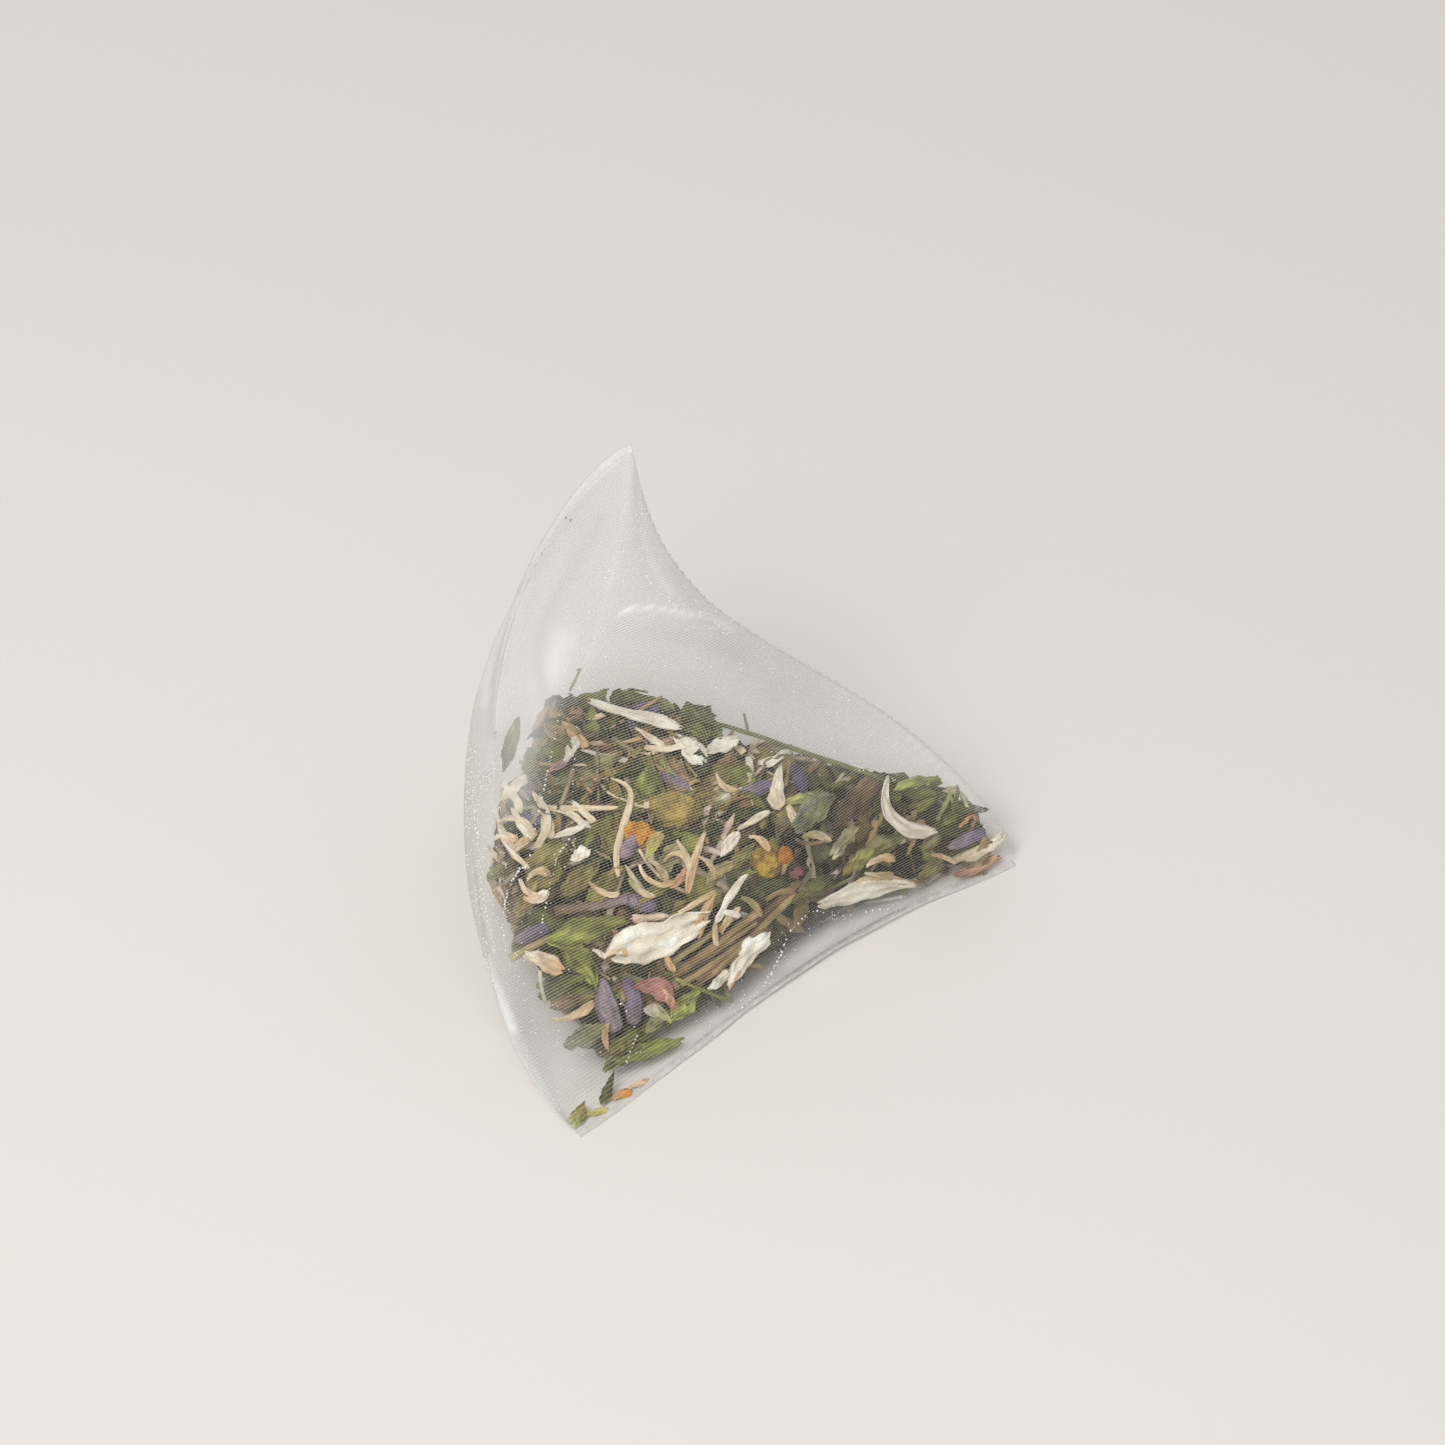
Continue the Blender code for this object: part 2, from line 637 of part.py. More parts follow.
def build_heads(seats, parts):
    upright = Matrix.Rotation(math.radians(-90.0), 4, "Y")
    for name, middle, colour in HEADS:
        beside = (middle[0] + 1, middle[1])
        place = seats.frame(middle, beside, HEAD_HEIGHT) @ upright
        make_turned(name, head_profile(), 14, place, parts, make_material(name, colour, 0.9))


def build_stems(seats, parts):
    for name, tail, tip, length, radius, bend, colour in STEMS:
        place = seats.frame(tail, tip, 2 * radius) @ Matrix.Translation((0.0, 0.0, radius))
        make_stem(name, length, radius, bend, place, parts, make_material(name, colour, 0.8))


def centre_on_origin(bag, collections):
    """Puts the middle of the bag's footprint over the origin."""
    corners = np.array([vertex.co for vertex in bag.data.vertices])
    middle = (corners.min(axis=0) + corners.max(axis=0)) / 2
    root = bpy.data.objects.new("bag_origin", None)
    collections[0].objects.link(root)
    for collection in collections:
        for item in collection.objects:
            if item is not root:
                item.parent = root
    root.location = (-middle[0], -middle[1], 0.0)


def main():
    clear_scene()
    parts = make_collection("pyramid_tea_bag")
    cutters = make_collection("cutters")
    bag = build_bag(parts, cutters)
    heap = build_heap(parts)
    seats = Seats(heap)
    build_leaves(seats, parts)
    build_petals(seats, parts)
    build_strips(seats, parts)
    build_buds(seats, parts)
    build_heads(seats, parts)
    build_stems(seats, parts)
    centre_on_origin(bag, (parts, cutters))


main()
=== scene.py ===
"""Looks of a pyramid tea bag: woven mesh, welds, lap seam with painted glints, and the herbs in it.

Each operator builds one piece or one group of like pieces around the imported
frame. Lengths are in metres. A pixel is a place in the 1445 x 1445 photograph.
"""
import math

import bmesh
import bpy
import numpy as np
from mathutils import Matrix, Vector
from mathutils.bvhtree import BVHTree


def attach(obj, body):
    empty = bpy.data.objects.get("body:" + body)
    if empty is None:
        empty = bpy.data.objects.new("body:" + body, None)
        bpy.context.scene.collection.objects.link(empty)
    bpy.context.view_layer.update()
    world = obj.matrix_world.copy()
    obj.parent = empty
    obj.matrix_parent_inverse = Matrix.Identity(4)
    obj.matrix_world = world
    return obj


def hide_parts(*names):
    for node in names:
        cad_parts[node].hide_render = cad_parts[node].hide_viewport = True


bl_info = {
    "name": "Pyramid Tea Bag",
    "version": (1, 0, 0),
    "blender": (4, 5, 0),
    "location": "View3D > Sidebar > Tea Bag",
    "description": "Builds a woven pyramid tea bag with its herbs around the packed frame",
    "category": "Add Mesh",
}

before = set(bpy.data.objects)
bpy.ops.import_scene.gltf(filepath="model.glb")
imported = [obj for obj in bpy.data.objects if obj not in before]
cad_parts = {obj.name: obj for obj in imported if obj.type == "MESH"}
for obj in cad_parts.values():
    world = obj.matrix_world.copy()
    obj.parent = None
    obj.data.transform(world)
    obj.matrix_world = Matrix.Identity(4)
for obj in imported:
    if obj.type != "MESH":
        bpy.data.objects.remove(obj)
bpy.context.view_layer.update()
BODY = "root"

# The bag's shape, as the CAD model has it
WELD_LENGTH = 0.058
TUBE_LENGTH = 0.057
CLOTH_WALL = 0.00015
VISIBLE_WELD = 0.0005        # how far the photograph shows the cloth go on past a weld
EDGE_SLACK = 0.12
FRONT_WELD_HEADING = 40.5
LEFT_EDGE_HEADING = 100.7
TOP_WELD_HEADING = -41.5
TOP_WELD_RISE = 69.0
FRONT_WELD_BOW = (0.0, 0.0034, 0.0006)
TOP_WELD_BOW = (-0.0042, 0.0, 0.0004)
CENTRE_SHIFT = np.array([-0.01601476, -0.02755414, 0.0])

# Eight lines from the front weld to the top weld: share of each weld, and the
# bumps by which the cloth stands off the straight line there
CLOTH_LINES = (
    (0.0, 0.0, ((0.30, 3.0, (-0.0080, -0.0008, 0.0008)),)),
    (0.5, 0.0, ((0.36, 2.4, (0.0020, -0.0050, 0.0048)), (0.78, 8.0, (-0.0020, 0.0002, -0.0014)))),
    (1.0, 0.0, ((0.22, 2.4, (0.0016, 0.0008, 0.0016)), (0.74, 5.0, (-0.0038, -0.0022, -0.0028)))),
    (1.0, 0.5, ((0.45, 2.0, (-0.0010, -0.0020, 0.0)), (0.80, 6.0, (-0.0006, -0.0012, 0.0)))),
    (1.0, 1.0, ((0.50, 2.4, (-0.0004, -0.0020, -0.0020)),)),
    (0.5, 1.0, ((0.40, 1.2, (0.0, 0.0, -0.0020)),)),
    (0.0, 1.0, ((0.40, 2.0, (-0.0035, 0.0, -0.0020)),)),
    (0.0, 0.5, ((0.52, 1.8, (-0.0078, 0.0, 0.0006)),)),
)

# The weave
THREADS_ROUND = 436          # threads that run from weld to weld
THREADS_ALONG = 214          # threads that run round the tube
COARSE = 4                   # every how many crossings a search for the nearest looks

# The heap's top, above the near and left corners and above the right corner
HEAP_TOP_LEFT = 0.0190
HEAP_TOP_RIGHT = 0.0130

# Least heights over the floor
THREAD_FLOOR = 0.00004
HAZE_FLOOR = 0.00005
WELD_FLOOR = 0.00009
RIM_FLOOR = 0.00002
FLAKE_FLOOR = 0.0003
CORE_FLOOR = 0.0007

# Room between the pieces, and their thickness
PIECE_CLEAR = 0.00012        # least room between a piece and the cloth
CORE_CLEAR = 0.0009          # least room between the heap's core and the cloth
CORE_DEPTH = 0.0009          # how far the core lies under the CAD heap, apart from its lumps
HAZE_DEPTH = 0.00004         # how far the veil lies under the threads
SHALLOWEST = 0.0003          # least depth of a scattered piece under the cloth
UPWARD_REACH = 0.002         # how near a crossing that looks up is, to put a point under it
HIGHEST_LIFT = 0.0022        # how far over the heap's top the uppermost piece lies
FRONT_DEPTH = 0.0008         # how much deeper than elsewhere the scattered pieces lie in front
CORNER_ROOM = 0.009          # how near the near corner no scattered piece lies
HERB_WALL = 0.00012
FLAKE_WALL = 0.00010
WELD_WALL = 0.00012

# The photograph's camera
PICTURE = 1445.0
SENSOR = 36.0
CAMERA_PLACE = np.array([0.0025817, -0.4162426, 0.4466619])
CAMERA_HEADING = -0.62393
CAMERA_DIP = 45.0
CAMERA_LENS = 148.28
PIXEL = 0.058 / 589.0        # true size of one of the photograph's pixels

# Colours, linear
GREEN = (0.210, 0.205, 0.045)
BRIGHT_GREEN = (0.30, 0.33, 0.062)
DARK_GREEN = (0.085, 0.098, 0.028)
OLIVE = (0.31, 0.25, 0.072)
GREY_GREEN = (0.37, 0.35, 0.165)
BLUE_GREEN = (0.25, 0.29, 0.165)
YELLOW_GREEN = (0.46, 0.49, 0.13)
CREAM = (0.78, 0.66, 0.46)
WHITE = (0.90, 0.85, 0.74)
PEACH = (0.68, 0.44, 0.23)
TAN = (0.49, 0.35, 0.165)
BROWN = (0.26, 0.17, 0.080)
DARK_BROWN = (0.075, 0.055, 0.035)
PINK = (0.42, 0.19, 0.16)
VIOLET = (0.19, 0.145, 0.27)
GREY_VIOLET = (0.33, 0.27, 0.31)
ORANGE = (0.80, 0.30, 0.015)
YELLOW = (0.72, 0.48, 0.05)


def direction(heading, rise=0.0):
    """Unit vector from two angles in degrees: its heading from +X and its rise."""
    level = math.cos(math.radians(rise))
    turn = math.radians(heading)
    return np.array([level * math.cos(turn), level * math.sin(turn),
                     math.sin(math.radians(rise))])


def hump(at, peak, width):
    """A bump over 0 to 1: rising power of at/peak times falling power of the rest."""
    at = np.clip(at, 1e-6, 1.0 - 1e-6)
    rising = (at / peak) ** (width * peak)
    falling = ((1.0 - at) / (1.0 - peak)) ** (width * (1.0 - peak))
    return rising * falling


def unit(vectors):
    """Each vector divided by its length."""
    return vectors / (np.linalg.norm(vectors, axis=-1, keepdims=True) + 1e-15)


SOFT_EDGE = math.hypot(TUBE_LENGTH, WELD_LENGTH / 2) * (1.0 - EDGE_SLACK)
NEAR = CENTRE_SHIFT
RIGHT = NEAR + WELD_LENGTH * direction(FRONT_WELD_HEADING)
LEFT = NEAR + SOFT_EDGE * direction(LEFT_EDGE_HEADING)
TOP = LEFT + WELD_LENGTH * direction(TOP_WELD_HEADING, TOP_WELD_RISE)


def front_weld(share):
    """Straight line from the near to the right corner plus one bump."""
    share = np.atleast_1d(share)[:, None]
    return NEAR + share * (RIGHT - NEAR) + hump(share, 0.56, 3.0) * np.array(FRONT_WELD_BOW)


def top_weld(share):
    """Straight line from the top to the left corner plus one bump."""
    share = np.atleast_1d(share)[:, None]
    return TOP + share * (LEFT - TOP) + hump(share, 0.42, 1.6) * np.array(TOP_WELD_BOW)


def ring_points(along, around):
    """Hermite curves round the tube through the eight lines, one row per along.

    A tangent joins a line's two neighbours and is as long as the shorter of
    the two chords beside it.
    """
    share = along[:, None]
    lines = []
    for front_share, top_share, bumps in CLOTH_LINES:
        line = (1.0 - share) * front_weld(front_share) + share * top_weld(top_share)
        for peak, width, offset in bumps:
            line = line + hump(share, peak, width) * np.array(offset)
        lines.append(line)
    points = np.array(lines)
    before, after = np.roll(points, 1, axis=0), np.roll(points, -1, axis=0)
    chord_in = np.linalg.norm(points - before, axis=2, keepdims=True)
    chord_out = np.linalg.norm(after - points, axis=2, keepdims=True)
    tangents = unit(after - before) * np.minimum(chord_in, chord_out)
    first = np.floor(around).astype(int) % 8
    second = (first + 1) % 8
    row = np.arange(len(along))[:, None]
    u = (around - np.floor(around))[..., None]
    return ((2 * u ** 3 - 3 * u ** 2 + 1) * points[first, row]
            + (u ** 3 - 2 * u ** 2 + u) * tangents[first, row]
            + (3 * u ** 2 - 2 * u ** 3) * points[second, row]
            + (u ** 3 - u ** 2) * tangents[second, row])


def cloth_points(along, around):
    """Ring curves, blended so that the two end rings lie on the welds."""
    grid = ring_points(along, around)
    share = along[:, None, None]
    for weld, column, end, weight in ((front_weld, 0, 0.0, 1.0 - share),
                                      (top_weld, 1, 1.0, share)):
        shares = [line[column] for line in CLOTH_LINES]
        place = np.interp(around % 8.0, range(9), shares + shares[:1])
        on_weld = weld(place.ravel()).reshape(grid.shape)
        grid = grid + weight * (on_weld - ring_points(np.full(len(along), end), around))
    return grid


def line_number(across, along):
    """Where a thread lies among the eight lines.

    across counts weld lengths round the tube from the near corner. At any
    share along, the front and bottom faces take 1 - along of a weld length
    each and the back and left faces take along, in the order front, back,
    bottom, left.
    """
    from_fold = (across - along / 2) % 2.0
    wide, slim = np.maximum(1.0 - along, 1e-6), np.maximum(along, 1e-6)
    return np.select(
        [from_fold < 1.0 - along, from_fold < 1.0, from_fold < 2.0 - along],
        [2.0 * from_fold / wide, 2.0 + 2.0 * (from_fold - 1.0 + along) / slim,
         4.0 + 2.0 * (from_fold - 1.0) / wide],
        6.0 + 2.0 * (from_fold - 2.0 + along) / slim)


def waves(places, scale, seed, octaves=3):
    """Smooth noise from -1 to 1: a sum of sine waves in random directions."""
    chance = np.random.default_rng(seed)
    total = np.zeros(places.shape[:-1])
    for octave in range(octaves):
        for _ in range(4):
            way = unit(chance.normal(size=3)) * 2 * np.pi / scale * 1.9 ** octave
            total += np.sin(places @ way + chance.uniform(0, 2 * np.pi)) / 1.8 ** octave
    return total / 4.0


class Skin:
    """The cloth on the grid of its own thread crossings, and points under it."""

    def __init__(self):
        self.along = (np.arange(THREADS_ALONG) + 0.5) / THREADS_ALONG
        self.across = np.arange(THREADS_ROUND) * 2.0 / THREADS_ROUND
        around = line_number(self.across[None, :], self.along[:, None])
        self.points = cloth_points(self.along, around)
        self.settle()
        self.points += self.normals * self.wrinkles()[..., None]
        self.points[..., 2] = np.maximum(self.points[..., 2], CLOTH_WALL)
        self.settle()

    def settle(self):
        """Unit tangents round and along the tube, and their outward cross product."""
        self.round = unit(np.roll(self.points, -1, axis=1) - np.roll(self.points, 1, axis=1))
        self.length = unit(np.gradient(self.points, axis=0))
        self.normals = unit(np.cross(self.round, self.length))

    def wrinkles(self):
        """Height of the creases: a few soft valleys that fade out along the tube."""
        along = self.along[:, None]
        slack = np.clip((along - 0.45) / 0.4, 0.0, 1.0) * np.clip((1.0 - along) / 0.08, 0.0, 1.0)
        broad = waves(self.points, 0.013, 5, 2) * 0.00022
        fine = waves(self.points * np.array([1.0, 1.0, 0.45]), 0.0045, 9, 2) * 0.00007
        return slack * broad + (0.25 + slack) * fine

    def under(self, across, along, depth):
        """Points at a depth under the cloth, and the outward normals, by bilinear blend."""
        column = (across % 2.0) / 2.0 * THREADS_ROUND
        row = np.clip(along * THREADS_ALONG - 0.5, 0.0, THREADS_ALONG - 1.001)
        i, j = np.floor(row).astype(int), np.floor(column).astype(int)
        v, u = (row - i)[..., None], (column - j)[..., None]
        j, k = j % THREADS_ROUND, (j + 1) % THREADS_ROUND

        def blend(field):
            """The field between the four crossings round each place."""
            low = field[i, j] * (1 - u) + field[i, k] * u
            high = field[i + 1, j] * (1 - u) + field[i + 1, k] * u
            return low * (1 - v) + high * v
        normal = unit(blend(self.normals))
        return blend(self.points) - normal * np.asarray(depth)[..., None], normal


SKIN = Skin()


def sight(pixels):
    """The camera's place and a unit vector from it through each pixel."""
    heading, dip = math.radians(CAMERA_HEADING), math.radians(CAMERA_DIP)
    ahead = np.array([math.sin(heading) * math.cos(dip), math.cos(heading) * math.cos(dip),
                      -math.sin(dip)])
    right = np.array([math.cos(heading), -math.sin(heading), 0.0])
    up = np.cross(right, ahead)
    pixels = np.asarray(pixels, dtype=float)
    scale = SENSOR / CAMERA_LENS / PICTURE
    side = (pixels[..., :1] - PICTURE / 2) * scale
    rise = (PICTURE / 2 - pixels[..., 1:]) * scale
    return CAMERA_PLACE, unit(ahead + side * right + rise * up)


AHEAD = sight((PICTURE / 2, PICTURE / 2))[1]


def pixels_of(points):
    """Where the camera sees points: right and up over depth, times the focal length."""
    heading = math.radians(CAMERA_HEADING)
    right = np.array([math.cos(heading), -math.sin(heading), 0.0])
    away = points - CAMERA_PLACE
    scale = CAMERA_LENS / SENSOR * PICTURE / (away @ AHEAD)
    return np.stack([PICTURE / 2 + scale * (away @ right),
                     PICTURE / 2 - scale * (away @ np.cross(right, AHEAD))], axis=-1)


def in_outline(pixels, outline):
    """Which pixels lie in a closed outline: an odd number of its edges is to their right."""
    x, y = pixels[..., 0], pixels[..., 1]
    inside = np.zeros(x.shape, dtype=bool)
    for (x0, y0), (x1, y1) in zip(outline, outline[1:] + outline[:1]):
        if y0 != y1:
            edge = x0 + (y - y0) * (x1 - x0) / (y1 - y0)
            inside ^= ((y0 > y) != (y1 > y)) & (x < edge)
    return inside


def tucked(points, clear):
    """Points moved inward, along the normal of the nearest crossing, to lie clear deep.

    Then the same for the nearest crossing that looks up, where one is near, so
    that a piece in a thin corner stays under the upper cloth.
    """
    grid = SKIN.points[::COARSE, ::COARSE].reshape(-1, 3)
    normals = SKIN.normals[::COARSE, ::COARSE].reshape(-1, 3)
    upward = normals[:, 2] > 0.2
    flat = np.array(points, dtype=float).reshape(-1, 3)
    batch = 4000
    for first in range(0, len(flat), batch):
        part = flat[first:first + batch]
        for places, outward, reach in ((grid, normals, 1.0),
                                       (grid[upward], normals[upward], UPWARD_REACH)):
            nearest = ((places ** 2).sum(axis=1) - 2 * part @ places.T).argmin(axis=1)
            offset = part - places[nearest]
            height = (offset * outward[nearest]).sum(axis=1)
            height[np.linalg.norm(offset, axis=1) > reach] = -clear
            part -= outward[nearest] * np.maximum(height + clear, 0.0)[:, None]
    flat[:, 2] = np.maximum(flat[:, 2], CLOTH_WALL)
    return flat.reshape(np.shape(points))


class Seats:
    """Finds where a piece lies that a pixel shows: under the cloth, or on the heap's top."""

    CLOTH_TO_HEAP = 0.0060
    MIDDLE = (740.0, 860.0)      # a pixel that a search beyond the outline heads for
    REACH = 30                   # pixels that such a search goes
    TOP_HEIGHT = 0.0180          # height of the heap's top where no pixel shows it
    TOP_ROOM = 0.0022            # least room between the cloth and a place on the heap's top

    def __init__(self):
        grid = SKIN.points[::COARSE, ::COARSE]
        rows, columns = grid.shape[:2]
        self.cloth = BVHTree.FromPolygons(grid.reshape(-1, 3).tolist(),
                                          grid_faces(rows, columns, True).tolist())
        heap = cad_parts["cut_herb_heap"].data
        self.heap = BVHTree.FromPolygons([vertex.co for vertex in heap.vertices],
                                         [list(face.vertices) for face in heap.polygons])

    def on_cloth(self, pixel):
        """The cloth and its outward normal at a pixel, and the line of sight there."""
        inward = unit(np.array(self.MIDDLE) - pixel)
        for step in range(self.REACH):
            start, way = (Vector(vector) for vector in sight(pixel + inward * step))
            place, outward = self.cloth.ray_cast(start, way)[:2]
            if place is not None:
                return place, outward, way
        raise ValueError(f"no cloth near pixel {tuple(pixel)}")

    def top_height(self, pixel):
        """Height of the heap's top at a pixel, or nothing if the cloth is near it there."""
        cloth, _, way = self.on_cloth(pixel)
        heap = self.heap.ray_cast(cloth, way)[0]
        if heap is None:
            return self.TOP_HEIGHT
        return heap.z if (heap - cloth).dot(way) > self.CLOTH_TO_HEAP else None

    def path(self, pixels, depth, lift):
        """Points and normals: all depth under the cloth, or all lift over the heap's top."""
        height = self.top_height(pixels[len(pixels) // 2])
        places, normals = [], []
        for pixel in pixels:
            cloth, outward, way = self.on_cloth(pixel)
            if height is None:
                places.append(cloth - outward * depth)
                normals.append(outward)
            else:
                places.append(cloth + way * max((height + lift - cloth.z) / way.z, 0.0))
                normals.append((0.0, 0.0, 1.0))
        return np.array(places), np.array(normals)

    def tops(self, places):
        """Points of the heap's top under or over these places, where the cloth is not near."""
        found = []
        down = Vector((0.0, 0.0, -1.0))
        for place in places:
            hit, upward = self.heap.ray_cast(Vector((place[0], place[1], 0.1)), down)[:2]
            if hit is None or upward.z <= 0.5:
                continue
            if self.cloth.find_nearest(hit)[3] > self.TOP_ROOM:
                found.append(hit)
        return np.array(found).reshape(-1, 3)


def grid_faces(rows, columns, closed=False):
    """Four-sided faces of a grid of points, as an array, turned outward."""
    last = columns if closed else columns - 1
    row, column = np.meshgrid(np.arange(rows - 1), np.arange(last), indexing="ij")
    right = (column + 1) % columns
    corners = [row * columns + column, row * columns + right,
               (row + 1) * columns + right, (row + 1) * columns + column]
    return np.stack(corners, axis=-1).reshape(-1, 4)


def repeated(faces, count, points_each):
    """The faces of one piece, numbered on for count like pieces."""
    first = np.arange(count)[:, None, None] * points_each
    return (faces[None] + first).reshape(-1, faces.shape[1])


def mesh_piece(name, points, faces, material, tint=None):
    """A mesh object from arrays of points, of equal-sided faces and of a colour for each point."""
    points = np.asarray(points, dtype=np.float32).reshape(-1, 3)
    faces = np.asarray(faces, dtype=np.int32)
    count, sides = faces.shape
    mesh = bpy.data.meshes.new(name)
    mesh.vertices.add(len(points))
    mesh.vertices.foreach_set("co", points.ravel())
    mesh.loops.add(count * sides)
    mesh.loops.foreach_set("vertex_index", faces.ravel())
    mesh.polygons.add(count)
    mesh.polygons.foreach_set("loop_start", np.arange(count, dtype=np.int32) * sides)
    mesh.polygons.foreach_set("loop_total", np.full(count, sides, dtype=np.int32))
    mesh.update(calc_edges=True)
    mesh.shade_smooth()
    if tint is not None:
        colours = np.ones((len(points), 4), dtype=np.float32)
        colours[:, :3] = tint
        layer = mesh.color_attributes.new("tint", "FLOAT_COLOR", "POINT")
        layer.data.foreach_set("color", colours.ravel())
    mesh.materials.append(material)
    item = bpy.data.objects.new(name, mesh)
    bpy.context.scene.collection.objects.link(item)
    return item


def finish_piece(item, slot, *nodes):
    """Hands a finished piece over to the frame."""
    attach(item, BODY)
    if nodes:
        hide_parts(*nodes)
    return item


def add_wall(item, thickness):
    """Gives an open sheet a thickness, half to each side."""
    solidify = item.modifiers.new("wall", "SOLIDIFY")
    solidify.thickness = thickness
    solidify.offset = 0.0
    return item


class Signal:
    """A shader socket's value, with Python's operators as Math nodes."""

    def __init__(self, tree, socket):
        self.tree = tree
        self.socket = socket

    def maths(self, operation, *values):
        """Adds a Math node on signals and numbers."""
        node = self.tree.nodes.new("ShaderNodeMath")
        node.operation = operation
        for socket, value in zip(node.inputs, values):
            if isinstance(value, Signal):
                self.tree.links.new(value.socket, socket)
            else:
                socket.default_value = value
        return Signal(self.tree, node.outputs[0])

    def __add__(self, other):
        return self.maths("ADD", self, other)

    __radd__ = __add__

    def __sub__(self, other):
        return self.maths("SUBTRACT", self, other)

    def __rsub__(self, other):
        return self.maths("SUBTRACT", other, self)

    def __mul__(self, other):
        return self.maths("MULTIPLY", self, other)

    __rmul__ = __mul__

    def __truediv__(self, other):
        return self.maths("DIVIDE", self, other)

    def __rtruediv__(self, other):
        return self.maths("DIVIDE", other, self)

    def clamped(self):
        """The value, held between 0 and 1."""
        return self.maths("MINIMUM", self.maths("MAXIMUM", self, 0.0), 1.0)


class Finish:
    """A material that is being built: one method adds any node."""

    def __init__(self, name, roughness, **fixed):
        self.material = bpy.data.materials.new(name)
        self.material.use_nodes = True
        self.tree = self.material.node_tree
        self.shader = self.tree.nodes["Principled BSDF"]
        self.set(Roughness=roughness, **fixed)

    def node(self, kind, settings=(), output=0, **sockets):
        """Adds a node, sets its settings first, then its sockets, by name or by index."""
        node = self.tree.nodes.new(kind)
        for name, value in dict(settings).items():
            setattr(node, name, value)
        for name, value in sockets.items():
            key = int(name[1:]) if name[1:].isdigit() else name.replace("_", " ")
            self.give(node.inputs[key], value)
        return Signal(self.tree, node.outputs[output])

    def give(self, socket, value):
        """Links a signal to a socket, or sets a number, colour or vector there."""
        if isinstance(value, Signal):
            self.tree.links.new(value.socket, socket)
        elif isinstance(value, tuple) and len(value) == 3 and socket.type == "RGBA":
            socket.default_value = (*value, 1.0)
        else:
            socket.default_value = value

    def set(self, **sockets):
        """Sets the shader's own sockets."""
        for name, value in sockets.items():
            self.give(self.shader.inputs[name.replace("_", " ")], value)

    def place(self):
        """Object coordinates, which are the frame's own."""
        return self.node("ShaderNodeTexCoord", output=3)

    LUMP = 0.6                   # how large the lumps of the noise are at scale 1

    def noise(self, size, detail=3.0, roughness=0.55):
        """Noise from 0 to 1 whose lumps are about this many metres across."""
        return self.node("ShaderNodeTexNoise", _0=self.place(), Scale=self.LUMP / size,
                         Detail=detail, Roughness=roughness)

    def mix(self, factor, first, second, blend="MIX"):
        """Two colours mixed by a factor."""
        return self.node("ShaderNodeMix", {"data_type": "RGBA", "blend_type": blend}, 2,
                         _0=factor, _6=first, _7=second)

    def bump(self, height, distance):
        """Bump of this height in metres."""
        self.set(Normal=self.node("ShaderNodeBump", Strength=1.0, Distance=distance, Height=height))


def spread(signal, low, high):
    """A value stretched so that low goes to 0 and high to 1, held within them."""
    return ((signal - low) / (high - low)).clamped()


def dry_finish(name, roughness, fleck, grain, depth, shade=0.55):
    """A dry plant finish: the piece's tint, darker in patches, over a grainy bump."""
    finish = Finish(name, roughness, Specular_IOR_Level=0.25)
    tint = finish.node("ShaderNodeAttribute", {"attribute_name": "tint"})
    patches = spread(finish.noise(fleck, 4.0), 0.35, 0.68)
    specks = spread(finish.noise(grain, 3.0, 0.7), 0.40, 0.62)
    darker = finish.mix(1.0, tint, (shade, shade * 0.95, shade * 0.85), "MULTIPLY")
    colour = finish.mix(patches, darker, tint)
    brighter = finish.mix(1.0, colour, (1.22, 1.2, 1.16), "MULTIPLY")
    finish.set(Base_Color=finish.mix(specks * 0.7, colour, brighter))
    finish.bump(finish.noise(grain * 2, 5.0, 0.65), depth)
    return finish.material


class ClothSettings(bpy.types.PropertyGroup):
    """Sizes and colours of the woven mesh."""
    thread_width: bpy.props.FloatProperty(
        name="Thread width", description="How wide one thread lies", default=0.000040,
        precision=5, unit="LENGTH")
    crimp: bpy.props.FloatProperty(
        name="Crimp", description="How far a thread rises and dips at each crossing",
        default=0.00003, precision=5, unit="LENGTH")
    thread_colour: bpy.props.FloatVectorProperty(
        name="Thread", description="Colour of the clear threads", default=(0.95, 0.90, 0.81),
        size=3, subtype="COLOR")
    lengthwise_opacity: bpy.props.FloatProperty(
        name="Lengthwise threads", description="How opaque the threads from weld to weld are",
        default=0.20, subtype="FACTOR")
    round_opacity: bpy.props.FloatProperty(
        name="Round threads", description="How opaque the threads round the tube are",
        default=0.54, subtype="FACTOR")
    haze: bpy.props.FloatProperty(
        name="Haze", description="How much the cloth between the threads veils", default=0.004,
        subtype="FACTOR")
    # Size of the white dots: the seam's melted dots and the painted glints of thread crossings
    bead_radius: bpy.props.FloatProperty(
        name="Bead radius", description="Size of the melted dots along a seam",
        default=0.00013, precision=5, unit="LENGTH")


class HerbSettings(bpy.types.PropertyGroup):
    """Amounts and sizes of the loose herb."""
    pressed: bpy.props.IntProperty(
        name="Pressed pieces", description="Loose pieces that lie against the cloth", default=1700)
    on_top: bpy.props.IntProperty(
        name="Pieces on top", description="Loose pieces that lie on the heap's top", default=420)
    deepest: bpy.props.FloatProperty(
        name="Deepest", description="How far under the cloth the loose pieces reach",
        default=0.0024, unit="LENGTH")
    # Near black: the dust's own colour darkened into painted shade of the gaps between the pieces
    dust_and_shade_colour: bpy.props.FloatVectorProperty(
        name="Heap", description="Colour of the dust between the pieces",
        default=(0.040, 0.030, 0.012), size=3, subtype="COLOR")


class StageSettings(bpy.types.PropertyGroup):
    """The floor, the lamps and the camera."""
    floor_colour: bpy.props.FloatVectorProperty(
        name="Floor", description="Colour of the paper it lies on", default=(0.800, 0.760, 0.714),
        size=3, subtype="COLOR")
    lens: bpy.props.FloatProperty(
        name="Lens", description="Focal length on a 36 mm sensor", default=CAMERA_LENS)


